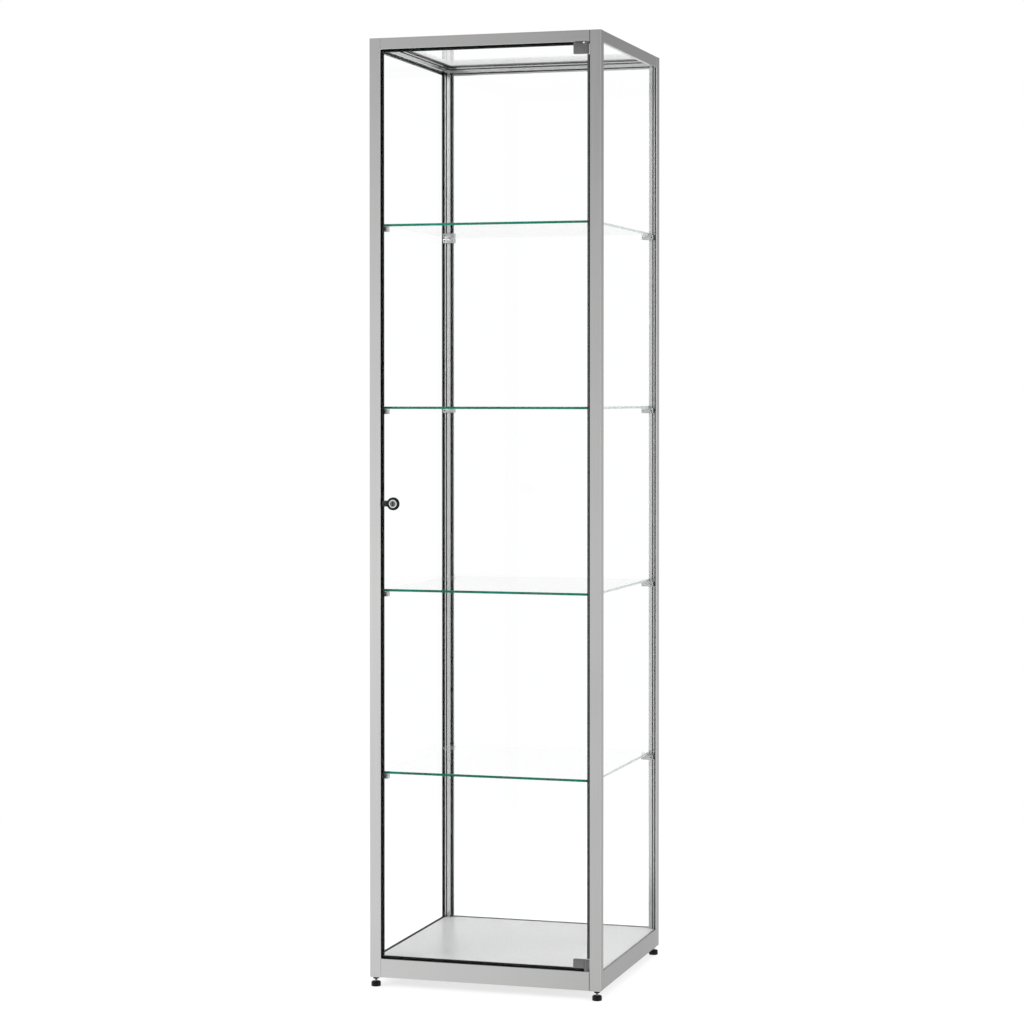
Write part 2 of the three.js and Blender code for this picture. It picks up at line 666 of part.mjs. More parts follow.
// A support from the corner's outer faces, x along the front or back, y inwards. Its tongue
// hangs in the post's T-slot; hand -1 makes the mirror-image piece.
function shelfSupport(hand) {
  const neck = SLOT_MOUTH / 2 - FIT;
  const head = SLOT_HEAD / 2 - FIT;
  const face = CORE_WIDTH + FIT;
  const arm = roundedRectangle(
    GROOVE_INNER + FIT, face, SUPPORT_REACH, face + SUPPORT_DEPTH, SUPPORT_RADIUS);
  const root = face + OVERSHOOT;
  const shoulder = CORE_WIDTH - SLOT_LIP - FIT;
  const tip = SLOT_FLOOR + FIT;
  const tongue = polygon([
    [SLOT_CENTRE - neck, root], [SLOT_CENTRE - neck, shoulder],
    [SLOT_CENTRE - head, shoulder], [SLOT_CENTRE - head, tip],
    [SLOT_CENTRE + head, tip], [SLOT_CENTRE + head, shoulder],
    [SLOT_CENTRE + neck, shoulder], [SLOT_CENTRE + neck, root],
  ]);
  const handed = (shape) => polygon(shape.getPoints(CORNER_STEPS).map((p) => [hand * p.x, p.y]));
  const screw = facingFront(rod(SUPPORT_SCREW_RADIUS, -SUPPORT_SCREW_DEPTH, OVERSHOOT));
  const middle = -SUPPORT_HEIGHT / 2;
  return cut(
    join(alongZ(handed(arm), -SUPPORT_HEIGHT, 0), alongZ(handed(tongue), -SUPPORT_HEIGHT, 0)),
    screw.translate(hand * SLOT_CENTRE, face + SUPPORT_DEPTH, middle),
  );
}

// ---------------------------------------------------------------- feet, about their own axis
function levellingFoot() {
  const shoulder = PAD_HEIGHT - PAD_SHOULDER;
  return turned([
    [0, 0], [PAD_RADIUS - PAD_CHAMFER, 0], [PAD_RADIUS, PAD_CHAMFER], [PAD_RADIUS, shoulder],
    [PAD_RADIUS - PAD_SHOULDER, PAD_HEIGHT], [STUD_RADIUS, PAD_HEIGHT],
    [STUD_RADIUS, PAD_HEIGHT + STUD_LENGTH], [0, PAD_HEIGHT + STUD_LENGTH],
  ]);
}

// The plastic insert pressed into the post, with its collar under the frame
function footInsert() {
  const bore = boreRadius(STUD_RADIUS + RUN);
  const collarTop = GROUND_CLEARANCE - SLIP;
  const collarBottom = collarTop - COLLAR_HEIGHT;
  const top = GROUND_CLEARANCE + INSERT_LENGTH;
  return turned([
    [bore, collarBottom], [COLLAR_RADIUS, collarBottom], [COLLAR_RADIUS, collarTop],
    [INSERT_RADIUS, collarTop], [INSERT_RADIUS, top], [bore, top], [bore, collarBottom],
  ]);
}

// ---------------------------------------------------------------- materials
function finish(color, roughness, metalness, extra = {}) {
  return new THREE.MeshStandardMaterial({ color, roughness, metalness, ...extra });
}

const anodised = finish(0xb9b9b8, 0.42, 0.85);
const clearGlass = finish(0xf2f8f6, 0.04, 0, { transparent: true, opacity: 0.2 });
const shelfTint = finish(0xbfe0d4, 0.04, 0, { transparent: true, opacity: 0.3 });
const rubber = finish(0x55565a, 0.8, 0);
const blackSeal = finish(0x17181a, 0.6, 0);
const panelGrey = finish(0xcfcfcf, 0.4, 0);
const hingeMetal = finish(0x8b8b8b, 0.38, 0.8);
const blackPlastic = finish(0x111214, 0.45, 0);
const nickel = finish(0xb4b6b8, 0.25, 1);
const castZinc = finish(0x9a9c9e, 0.4, 0.8);

// ---------------------------------------------------------------- assembly
function piece(parent, name, geometry, material) {
  const mesh = new THREE.Mesh(geometry, material.clone());
  mesh.name = name;
  parent.add(mesh);
  return mesh;
}

// The four corners of the case, counted round from the front left, with the quarter turn
// that brings a piece drawn at the front left corner there
const CORNERS = [
  { name: 'front_left', x: -WIDTH / 2, y: -DEPTH / 2, turn: 0 },
  { name: 'front_right', x: WIDTH / 2, y: -DEPTH / 2, turn: Math.PI / 2 },
  { name: 'back_right', x: WIDTH / 2, y: DEPTH / 2, turn: Math.PI },
  { name: 'back_left', x: -WIDTH / 2, y: DEPTH / 2, turn: -Math.PI / 2 },
];
const SIDES = ['front', 'right', 'back', 'left'];

function cornerGroup(parent, corner) {
  const group = new THREE.Group();
  group.position.set(corner.x, corner.y, 0);
  group.rotation.z = corner.turn;
  parent.add(group);
  return group;
}

function buildFrame() {
  const frame = new THREE.Group();
  CORNERS.forEach((corner, index) => {
    const group = cornerGroup(frame, corner);
    const side = SIDES[index];
    const length = index % 2 === 0 ? WIDTH : DEPTH;
    const postMesh = piece(group, `post_${corner.name}`, post(), anodised);
    postMesh.position.z = GROUND_CLEARANCE;
    const topMesh = piece(group, `top_rail_${side}`, topRail(length), anodised);
    topMesh.position.z = HEIGHT;
    if (side !== 'front') {
      const bottomMesh = piece(group, `bottom_rail_${side}`, bottomRail(length), anodised);
      bottomMesh.position.z = GROUND_CLEARANCE;
    }
    const insert = piece(group, `foot_insert_${corner.name}`, footInsert(), blackPlastic);
    insert.position.set(FOOT_INSET, FOOT_INSET, 0);
  });
  const front = bottomRail(WIDTH).translate(-WIDTH / 2, FRONT, GROUND_CLEARANCE);
  const drilled = cut(front, bracketScrewHole(BED_TOP - 2 * CELL_WALL, BED_TOP + OVERSHOOT));
  piece(frame, 'bottom_rail_front', drilled, anodised);
  return frame;
}

// A wall pane is drawn with x along the wall and y up from the floor, z inwards
function buildGlazing() {
  const glazing = new THREE.Group();
  const glazedHeight = HEIGHT - BED_TOP + CORE_WIDTH;
  CORNERS.forEach((corner, index) => {
    const side = SIDES[index];
    if (side === 'front') {
      return;
    }
    const length = index % 2 === 0 ? WIDTH : DEPTH;
    const wall = new THREE.Group();
    wall.rotation.x = Math.PI / 2;
    wall.position.z = BED_TOP - CORE_WIDTH;
    cornerGroup(glazing, corner).add(wall);
    const name = side === 'back' ? 'back_glass' : `side_glass_${side}`;
    const pane = sidePane(length, glazedHeight).rotateY(Math.PI).translate(length, 0, 0);
    const gasket = sideGasket(length, glazedHeight).rotateY(Math.PI).translate(length, 0, 0);
    piece(wall, name, pane, clearGlass);
    piece(wall, `glazing_gasket_${side}`, gasket, rubber);
  });
  const top = new THREE.Group();
  top.position.set(-WIDTH / 2, DEPTH / 2, HEIGHT);
  top.rotation.x = Math.PI;
  glazing.add(top);
  piece(top, 'top_glass', topPane(), clearGlass);
  piece(top, 'glazing_gasket_top', topGasket(), rubber);
  piece(glazing, 'base_panel', basePanel(), panelGrey);
  piece(glazing, 'door_seal', doorSeal(), blackSeal);
  piece(glazing, 'door_seal_hinge_side', hingeSideSeal(), blackSeal);
  return glazing;
}

function hingeEnd(parent, top) {
  const end = new THREE.Group();
  end.position.set(HINGE_AXIS_X, FRONT, top ? OPENING_TOP : OPENING_BOTTOM);
  parent.add(end);
  return end;
}

// The hinges share one drawing, mirrored at the top; the bottom clamp stays clear of the seal
function mirrored(geometry) {
  return toGeometry(toSolid(geometry).mirror([0, 0, 1]));
}

function buildHinges() {
  const hinges = new THREE.Group();
  const bottom = hingeEnd(hinges, false);
  const top = hingeEnd(hinges, true);
  const bottomFoot = OPENING_BOTTOM - BED_TOP - SLIP - PANEL_THICKNESS - FIT;
  const topFoot = BED_DROP - FIT;
  piece(bottom, 'hinge_pivot_bottom', pivotBracket(bottomFoot, bracketScrew()), hingeMetal);
  const topBracket = mirrored(pivotBracket(topFoot, bracketSlotNut()));
  piece(top, 'hinge_pivot_top', topBracket, hingeMetal);
  const bottomClamp = hingeClamp(HINGE_RIM_GAP + HINGE_SEAL_SPACE);
  piece(bottom, 'hinge_clamp_bottom', bottomClamp, hingeMetal);
  piece(top, 'hinge_clamp_top', mirrored(hingeClamp(HINGE_RIM_GAP)), hingeMetal);
  return hinges;
}

function buildDoor() {
  const door = new THREE.Group();
  piece(door, 'door_glass', doorGlass(), clearGlass);
  const lock = new THREE.Group();
  lock.position.set(LOCK_X, FRONT, LOCK_HEIGHT);
  door.add(lock);
  piece(lock, 'lock_barrel', lockBarrel(), blackPlastic);
  piece(lock, 'lock_plug', lockPlug(), nickel);
  piece(lock, 'lock_bolt', lockBolt(), castZinc);
  piece(lock, 'lock_case', lockCase(), blackPlastic);
  return door;
}

function buildShelves() {
  const shelves = new THREE.Group();
  SHELF_HEIGHTS.forEach((height, index) => {
    const shelf = new THREE.Group();
    shelf.position.z = height;
    shelves.add(shelf);
    const name = `shelf_${index + 1}`;
    piece(shelf, name, shelfGlass(), shelfTint);
    for (const corner of CORNERS) {
      const diagonal = corner.turn === 0 || corner.turn === Math.PI;
      const support = piece(shelf, `support_${index + 1}_${corner.name}`,
        shelfSupport(diagonal ? 1 : -1), castZinc);
      support.position.set(corner.x, corner.y, -SHELF_THICKNESS / 2 - FIT);
      support.rotation.z = corner.y < 0 ? 0 : Math.PI;
    }
  });
  return shelves;
}

function buildFeet() {
  const feet = new THREE.Group();
  for (const corner of CORNERS) {
    const foot = piece(cornerGroup(feet, corner), `foot_${corner.name}`, levellingFoot(),
      blackPlastic);
    foot.position.set(FOOT_INSET, FOOT_INSET, 0);
  }
  return feet;
}

// The lock stands out in front, so the case moves back by half of that to stay centred
const displayCase = new THREE.Group();
displayCase.position.y = ROSETTE_HEIGHT / 2;
displayCase.add(
  buildFrame(), buildGlazing(), buildHinges(), buildDoor(), buildShelves(), buildFeet());

export default displayCase;
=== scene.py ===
"""Looks for a tall glazed display case: aluminium posts and rails, glass, seals, lock and feet.

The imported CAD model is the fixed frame. Flat pieces keep their CAD shape and get a finish; round
and small pieces are rebuilt finer here, in the same place and at the same size. Metres, +Z up,
the door faces -Y.
"""

from __future__ import annotations

import logging
import math
from dataclasses import dataclass
from enum import Enum
from typing import Callable, Iterable, Sequence

import bmesh
import bpy
from mathutils import Matrix, Vector

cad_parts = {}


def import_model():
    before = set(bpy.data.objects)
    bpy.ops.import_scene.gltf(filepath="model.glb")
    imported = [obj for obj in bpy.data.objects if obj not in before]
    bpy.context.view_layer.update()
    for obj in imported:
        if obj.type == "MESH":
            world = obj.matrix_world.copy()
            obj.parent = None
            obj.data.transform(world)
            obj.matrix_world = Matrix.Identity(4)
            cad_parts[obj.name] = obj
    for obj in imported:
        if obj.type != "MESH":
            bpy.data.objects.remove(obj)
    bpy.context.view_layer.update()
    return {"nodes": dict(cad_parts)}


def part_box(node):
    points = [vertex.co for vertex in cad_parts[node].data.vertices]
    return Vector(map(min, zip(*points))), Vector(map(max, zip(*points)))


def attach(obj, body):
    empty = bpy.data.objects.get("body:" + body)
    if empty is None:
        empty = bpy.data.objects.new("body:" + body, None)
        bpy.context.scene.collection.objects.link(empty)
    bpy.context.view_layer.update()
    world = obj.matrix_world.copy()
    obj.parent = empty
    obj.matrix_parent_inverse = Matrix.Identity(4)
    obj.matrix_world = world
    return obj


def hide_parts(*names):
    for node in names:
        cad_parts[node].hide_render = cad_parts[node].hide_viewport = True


LOG = logging.getLogger("display_case")

MM = 0.001
Colour = tuple[float, float, float]
Point = tuple[float, float, float]
Span = tuple[float, float]
Profile = Sequence[tuple[float, float]]
Socket = bpy.types.NodeSocket
Node = bpy.types.Node
Material = bpy.types.Material
Mesh = bpy.types.Mesh
BMesh = bmesh.types.BMesh
Builder = Callable[[BMesh], None]

# The case's outer box. Its middle lies behind y = 0, because the lock stands out in front
HALF_WIDTH = 250.0 * MM
SETBACK = 3.0 * MM
CASE_HEIGHT = 1984.0 * MM
SHELF_COUNT = 4

# Ranges of a value: all of it, and where most and where the middle of a noise lies
WHOLE = (0.0, 1.0)
NOISE_SPAN = (0.3, 0.7)
NOISE_CORE = (0.35, 0.65)
WHITE = (1.0, 1.0, 1.0)

# Below this radius a point of a turned profile lies on the axis
ON_AXIS = 1e-7

# The angles in degrees from which an edge stays sharp, as made and after a cut
CREASE = 32.0
CUT_CREASE = 30.0

# Turns a piece that is made along +Z so that it points into the case
INTO_CASE = Matrix.Rotation(math.radians(-90.0), 4, "X")


# ------------------------------------------------------------------ options
class Axis(Enum):
    """A direction of the case, by its place in a vector."""

    X = 0
    Y = 1
    Z = 2


class Corner(Enum):
    """A corner of the case seen from above, with the signs of its x and y."""

    FRONT_LEFT = ("front_left", -1, -1)
    FRONT_RIGHT = ("front_right", 1, -1)
    BACK_RIGHT = ("back_right", 1, 1)
    BACK_LEFT = ("back_left", -1, 1)

    @property
    def label(self) -> str:
        """The corner's name as the CAD nodes spell it."""
        return self.value[0]

    @property
    def side(self) -> int:
        """-1 on the left and 1 on the right."""
        return self.value[1]

    @property
    def depth(self) -> int:
        """-1 at the front and 1 at the back."""
        return self.value[2]


class HingeEnd(Enum):
    """Which end of the door a hinge is at."""

    BOTTOM = "bottom"
    TOP = "top"


class Joining(Enum):
    """What a second shape does to a first one, as the boolean modifier spells it."""

    CUT = "DIFFERENCE"
    WELD = "UNION"


# ------------------------------------------------------------------ node trees
class NodeSheet:
    """A material's or world's node tree, with short calls to add nodes and join them."""

    def __init__(self, owner: Material | bpy.types.World) -> None:
        """Empties the owner's tree.

        Args:
            owner: the material or world whose nodes are written.
        """
        owner.use_nodes = True
        self.owner = owner
        self.tree = owner.node_tree
        self.tree.nodes.clear()

    def add(
        self, kind: str, values: dict[str | int, object] | None = None, **settings: object
    ) -> Node:
        """Adds one node.

        Args:
            kind: the node's type name without its ShaderNode prefix.
            values: input name or place to a constant, or to the output that feeds it.
            settings: the node's own properties.

        Returns:
            The new node.
        """
        node = self.tree.nodes.new("ShaderNode" + kind)
        for name, setting in settings.items():
            setattr(node, name, setting)
        for name, value in (values or {}).items():
            self.feed(node.inputs[name], value)
        return node

    def feed(self, socket: Socket, value: object) -> None:
        """Sets an input to a constant or links an output to it."""
        if isinstance(value, Socket):
            self.tree.links.new(value, socket)
        elif isinstance(value, tuple) and len(value) == 3 and socket.type == "RGBA":
            socket.default_value = (*value, 1.0)
        else:
            socket.default_value = value

    def maths(self, operation: str, first: object, second: object = 0.0) -> Socket:
        """Adds a Math node.

        Args:
            operation: the node's operation.
            first: its first input, a number or a socket.
            second: its second input.

        Returns:
            The node's output.
        """
        return self.add("Math", {0: first, 1: second}, operation=operation).outputs[0]

    def vector_maths(self, operation: str, *inputs: object) -> bpy.types.NodeOutputs:
        """Adds a Vector Math node and gives its outputs."""
        return self.add("VectorMath", dict(enumerate(inputs)), operation=operation).outputs

    def average(self, first: Socket, share: float, second: Socket) -> Socket:
        """Adds two values, the first by its share and the second by the rest."""
        rest = self.maths("MULTIPLY", second, 1.0 - share)
        return self.maths("ADD", self.maths("MULTIPLY", first, share), rest)

    def spread(self, value: Socket, source: Span, target: Span = WHOLE) -> Socket:
        """Maps a value smoothly from one range to another.

        Args:
            value: what is mapped.
            source: the range it is read in.
            target: the range it is given.

        Returns:
            The mapped value.
        """
        (low, high), (new_low, new_high) = source, target
        ends = {"From Min": low, "From Max": high, "To Min": new_low, "To Max": new_high}
        node = self.add("MapRange", {"Value": value, **ends}, interpolation_type="SMOOTHSTEP")
        return node.outputs["Result"]

    def blend(self, share: object, first: object, second: object) -> Socket:
        """Mixes two colours.

        Args:
            share: how much of the second, from 0 to 1.
            first: a colour or a socket.
            second: a colour or a socket.

        Returns:
            The mixed colour.
        """
        return self.add("Mix", {0: share, 6: first, 7: second}, data_type="RGBA").outputs[2]

    def mix_shaders(self, share: object, first: Node, second: Node) -> Node:
        """Mixes two shaders, with share as how much of the second."""
        return self.add("MixShader", {0: share, 1: first.outputs[0], 2: second.outputs[0]})

    def place(self, scale: Point = (1.0, 1.0, 1.0)) -> Socket:
        """Gives the piece's own coordinates, in metres, times a scale."""
        source = self.add("TexCoord").outputs["Object"]
        return self.add("Mapping", {"Vector": source, "Scale": scale}).outputs[0]

    def noise(self, scale: float, detail: float, vector: Socket | None = None) -> Socket:
        """Adds a noise.

        Args:
            scale: its features per metre.
            detail: how many finer layers it has.
            vector: what it runs over, the piece's own coordinates unless given.

        Returns:
            The noise's value.
        """
        source = self.place() if vector is None else vector
        return self.add("TexNoise", {"Vector": source, "Scale": scale, "Detail": detail}).outputs[0]

    def bump(self, height: Socket, depth: float, strength: float = 1.0) -> Socket:
        """Turns a height from 0 to 1 into a normal, depth being its reach in metres."""
        settings = {"Height": height, "Distance": depth, "Strength": strength}
        return self.add("Bump", settings).outputs[0]

    def surface(self, shader: Node) -> None:
        """Shows a shader on the surface or in the world."""
        kind = "OutputWorld" if isinstance(self.owner, bpy.types.World) else "OutputMaterial"
        self.add(kind, {"Surface": shader.outputs[0]})

    def finished(self, inputs: dict[str | int, object]) -> Material:
        """Shows a Principled surface with the given inputs and gives its material."""
        self.surface(self.add("BsdfPrincipled", inputs))
        return self.owner


# ------------------------------------------------------------------ finishes
@dataclass(frozen=True)
class AnodisedAluminium:
    """Satin silver anodising over the fine lines that extrusion leaves along a bar, with shade
    painted into its slots and onto its inner faces.
    """

    axis: Axis
    colour: Colour = (0.635, 0.635, 0.630)
    shade: Colour = (0.590, 0.591, 0.590)
    # painted shade: near black in the T-slots, where shade falls
    painted_slot_shade: Colour = (0.075, 0.076, 0.078)
    # painted shade: a darker grey on the inner faces, where shade falls
    painted_inner_shade: Colour = (0.52, 0.522, 0.524)
    roughness: Span = (0.19, 0.27)
    lines_across: float = 900.0
    lines_along: float = 4.0
    line_depth: float = 0.0000045
    bloom_per_metre: float = 2.3
    grain_per_metre: float = 2600.0
    lines_in_tone: float = 0.35
    lines_in_gloss: float = 0.6
    slot_reach: Span = (0.0097, 0.0128)
    slot_depth: Span = (0.0145, 0.0188)
    groove: float = 0.0073

    def material(self) -> Material:
        """Builds the material.

        Returns:
            A new material whose lines run along the axis.
        """
        sheet = NodeSheet(bpy.data.materials.new(f"anodised_aluminium_{self.axis.name.lower()}"))
        along = [self.lines_across] * 3
        along[self.axis.value] = self.lines_along
        lines = sheet.noise(1.0, 3.0, sheet.place(tuple(along)))
        bloom = sheet.noise(self.bloom_per_metre, 3.0)
        grain = sheet.noise(self.grain_per_metre, 1.0)
        slot, inside = self.painted_shade_masks(sheet)
        tone = sheet.average(lines, self.lines_in_tone, bloom)
        gloss = sheet.average(lines, self.lines_in_gloss, grain)
        face = sheet.blend(sheet.spread(tone, NOISE_CORE), self.shade, self.colour)
        # painted shade: the inner faces get a darker grey
        face_with_painted_shade = sheet.blend(inside, face, self.painted_inner_shade)
        return sheet.finished(
            {
                # painted shade: the slot mask paints the T-slots near black
                "Base Color": sheet.blend(slot, face_with_painted_shade, self.painted_slot_shade),
                "Metallic": 1.0,
                "Roughness": sheet.spread(gloss, NOISE_SPAN, self.roughness),
                "Normal": sheet.bump(lines, self.line_depth),
            }
        )

    def painted_shade_masks(self, sheet: NodeSheet) -> tuple[Socket, Socket]:
        """Finds the bar's T-slots and its inner faces, where shade is painted, by their distance
        from the case's outside.

        Args:
            sheet: the material's nodes.

        Returns:
            The mask of the slots, where shade is painted near black, and that of the inner faces,
            where shade is painted a darker grey.
        """
        spot = sheet.add("SeparateXYZ", {"Vector": sheet.place()}).outputs
        across = sheet.maths("ABSOLUTE", spot[0])
        deep = sheet.maths("ABSOLUTE", sheet.maths("SUBTRACT", spot[1], SETBACK))
        inwards = {
            Axis.X: sheet.maths("SUBTRACT", HALF_WIDTH, across),
            Axis.Y: sheet.maths("SUBTRACT", HALF_WIDTH, deep),
            Axis.Z: sheet.maths("SUBTRACT", CASE_HEIGHT, spot[2]),
        }
        first, second = (inwards[axis] for axis in Axis if axis is not self.axis)

        def within(value: Socket, span: Span) -> Socket:
            """One where the value lies between two bounds."""
            above = sheet.maths("GREATER_THAN", value, span[0])
            return sheet.maths("MULTIPLY", above, sheet.maths("LESS_THAN", value, span[1]))

        def crossing(one: Span, other: Span) -> Socket:
            """One where both distances lie between their bounds."""
            return sheet.maths("MULTIPLY", within(first, one), within(second, other))

        # mask of the T-slots, where shade is painted
        slots = sheet.maths(
            "MAXIMUM",
            crossing(self.slot_reach, self.slot_depth),
            crossing(self.slot_depth, self.slot_reach),
        )
        past_groove = (self.groove, 1.0)
        return slots, crossing(past_groove, past_groove)


@dataclass(frozen=True)
class ClearGlass:
    """Clear float glass with ground green edges; thin is the direction across the pane.

    A bloomed pane has a lower index than real glass, so that it reflects as little.
    """

    thin: Axis
    name: str = "clear_glass"
    index: float = 1.5
    body: Colour = (0.998, 1.0, 0.999)
    coating: Colour = (0.14, 0.14, 0.14)
    edge: Colour = (0.005, 0.185, 0.115)
    edge_dark: Colour = (0.004, 0.130, 0.080)
    # painted reflection: the pale colour the edges take at a glance
    edge_painted_reflection: Colour = (0.50, 0.56, 0.54)
    inner_edge: Colour = (0.90, 0.95, 0.93)
    lamp_light: Colour = (0.965, 0.967, 0.966)
    edge_roughness: Span = (0.12, 0.3)
    edge_gloss: float = 0.06
    painted_reflection_span: Span = (0.35, 0.78)
    facing: float = 0.5
    waves_per_metre: float = 7.0
    wave_depth: float = 0.000003
    wave_strength: float = 0.3
    grinding_per_metre: float = 900.0
    grinding_depth: float = 0.00003
    grinding_strength: float = 0.5
    drift_per_metre: float = 6.0

    def material(self) -> Material:
        """Builds the material.

        Returns:
            A new material: clear across the pane, green at its edges, open to the lamps' light.
        """
        sheet = NodeSheet(bpy.data.materials.new(f"{self.name}_{self.thin.name.lower()}"))
        normal = sheet.add("TexCoord").outputs["Normal"]
        parts = sheet.add("SeparateXYZ", {"Vector": normal}).outputs
        slant = sheet.maths("ABSOLUTE", parts[self.thin.value])
        across = sheet.maths("GREATER_THAN", slant, self.facing)
        clear_edge = sheet.add("BsdfTransparent", {"Color": self.inner_edge})
        seen_from_inside = sheet.add("NewGeometry").outputs["Backfacing"]
        edge = sheet.mix_shaders(seen_from_inside, self.ground_edge(sheet), clear_edge)
        solid = sheet.mix_shaders(across, edge, self.pane(sheet))
        open_to_lamps = sheet.add("BsdfTransparent", {"Color": self.lamp_light})
        lamp_ray = sheet.add("LightPath").outputs["Is Shadow Ray"]
        sheet.surface(sheet.mix_shaders(lamp_ray, solid, open_to_lamps))
        return sheet.owner

    def pane(self, sheet: NodeSheet) -> Node:
        """Makes the shader of the pane's two faces, with the faint waves of float glass.

        Args:
            sheet: the material's nodes.

        Returns:
            The shader's node.
        """
        waves = sheet.noise(self.waves_per_metre, 1.0)
        return sheet.add(
            "BsdfPrincipled",
            {
                "Base Color": self.body,
                "Roughness": 0.0,
                "IOR": self.index,
                "Specular Tint": self.coating,
                "Transmission Weight": 1.0,
                "Normal": sheet.bump(waves, self.wave_depth, self.wave_strength),
            },
        )

    def ground_edge(self, sheet: NodeSheet) -> Node:
        """Makes the shader of the ground edges, green ahead, with a reflection painted pale into
        their colour at a glance.

        Args:
            sheet: the material's nodes.

        Returns:
            The shader's node.
        """
        grinding = sheet.noise(self.grinding_per_metre, 2.0)
        drift = sheet.noise(self.drift_per_metre, 2.0)
        glance = sheet.add("LayerWeight", {"Blend": 0.5}).outputs["Facing"]
        green = sheet.blend(sheet.spread(drift, NOISE_CORE), self.edge_dark, self.edge)
        pale = sheet.spread(glance, self.painted_reflection_span)
        return sheet.add(
            "BsdfPrincipled",
            {
                # painted reflection: the edge colour turns pale where it is seen at a glance
                "Base Color": sheet.blend(pale, green, self.edge_painted_reflection),
                "Roughness": sheet.spread(grinding, NOISE_SPAN, self.edge_roughness),
                "IOR": self.index,
                "Specular IOR Level": self.edge_gloss,
                "Normal": sheet.bump(grinding, self.grinding_depth, self.grinding_strength),
            },
        )


@dataclass(frozen=True)
class GrainedFinish:
    """A finish with a fine grain, and with patches where its colour drifts to a second one."""

    name: str
    colour: Colour
    patch: Colour
    roughness: Span
    grain_per_metre: float
    grain_depth: float
    patches_per_metre: float
    patch_detail: float
    patch_span: Span
    gloss: float = 0.5
    metallic: float = 0.0
    bump_strength: float = 0.5

    def material(self) -> Material:
        """Builds the material.

        Returns:
            A new material whose grain gives both its roughness and its relief.
        """
        sheet = NodeSheet(bpy.data.materials.new(self.name))
        grain = sheet.noise(self.grain_per_metre, 2.0)
        patches = sheet.noise(self.patches_per_metre, self.patch_detail)
        share = sheet.spread(patches, self.patch_span)
        return sheet.finished(
            {
                "Base Color": sheet.blend(share, self.colour, self.patch),
                "Metallic": self.metallic,
                "Roughness": sheet.spread(grain, NOISE_SPAN, self.roughness),
                "Specular IOR Level": self.gloss,
                "Normal": sheet.bump(grain, self.grain_depth, self.bump_strength),
            }
        )


@dataclass(frozen=True)
class Rubber(GrainedFinish):
    """Extruded rubber: matt, with a dusty bloom."""

    roughness: Span = (0.5, 0.72)
    grain_per_metre: float = 1400.0
    grain_depth: float = 0.00004
    patches_per_metre: float = 9.0
    patch_detail: float = 3.0
    patch_span: Span = (0.4, 0.75)
    gloss: float = 0.15


@dataclass(frozen=True)
class CoatedSheet(GrainedFinish):
    """The floor panel's satin pale grey coat, with the faint ripple of a rolled sheet."""

    name: str = "coated_floor_sheet"
    colour: Colour = (0.535, 0.535, 0.537)
    patch: Colour = (0.565, 0.565, 0.567)
    roughness: Span = (0.27, 0.34)
    grain_per_metre: float = 420.0
    grain_depth: float = 0.00001
    patches_per_metre: float = 3.0
    patch_detail: float = 3.0
    patch_span: Span = NOISE_CORE
    gloss: float = 0.42
    bump_strength: float = 0.2


@dataclass(frozen=True)
class PlatedMetal(GrainedFinish):
    """Cast and plated metal: a fine matt grain, worn a little brighter in patches."""

    roughness: Span = (0.32, 0.45)
    grain_per_metre: float = 1500.0
    grain_depth: float = 0.00002
    patches_per_metre: float = 120.0
    patch_detail: float = 4.0
    patch_span: Span = (0.5, 0.8)
    metallic: float = 1.0


@dataclass(frozen=True)
class MouldedPlastic(GrainedFinish):
    """Black moulded plastic with a fine spark-eroded grain and a slight sheen."""

    name: str = "black_moulding"
    colour: Colour = (0.004, 0.004, 0.0045)
    patch: Colour = (0.012, 0.012, 0.0125)
    roughness: Span = (0.30, 0.45)
    grain_per_metre: float = 1900.0
    grain_depth: float = 0.00003
    patches_per_metre: float = 140.0
    patch_detail: float = 4.0
    patch_span: Span = (0.55, 0.8)
    gloss: float = 0.25


@dataclass(frozen=True)
class TurnedNickel:
    """Nickel plate over a lathe-turned face, with its rings about the lock's axis."""

    centre: Point
    colour: Colour = (0.80, 0.81, 0.81)
    worn: Colour = (0.55, 0.56, 0.56)
    eye: Colour = (0.16, 0.162, 0.165)
    eye_radius: float = 0.0058
    roughness: Span = (0.16, 0.3)
    ring_radians_per_metre: float = 10400.0
    ring_depth: float = 0.000012
    ring_strength: float = 0.35
    scuffs_per_metre: float = 700.0
    scuff_span: Span = (0.35, 0.7)

    def material(self) -> Material:
        """Builds the material.

        Returns:
            A new material with its rings and its dark eye about the lock's axis.
        """
        sheet = NodeSheet(bpy.data.materials.new("turned_nickel"))
        source = sheet.add("TexCoord").outputs["Object"]
        offset = sheet.vector_maths("SUBTRACT", source, self.centre)[0]
        flat = sheet.vector_maths("MULTIPLY", offset, (1.0, 0.0, 1.0))[0]
        radius = sheet.vector_maths("LENGTH", flat)["Value"]
        rings = sheet.maths("SINE", sheet.maths("MULTIPLY", radius, self.ring_radians_per_metre))
        scuffs = sheet.noise(self.scuffs_per_metre, 3.0)
        plating = sheet.blend(sheet.spread(scuffs, self.scuff_span), self.colour, self.worn)
        in_eye = sheet.maths("LESS_THAN", radius, self.eye_radius)
        return sheet.finished(
            {
                "Base Color": sheet.blend(in_eye, plating, self.eye),
                "Metallic": 1.0,
                "Roughness": sheet.spread(scuffs, NOISE_SPAN, self.roughness),
                "Normal": sheet.bump(rings, self.ring_depth, self.ring_strength),
            }
        )


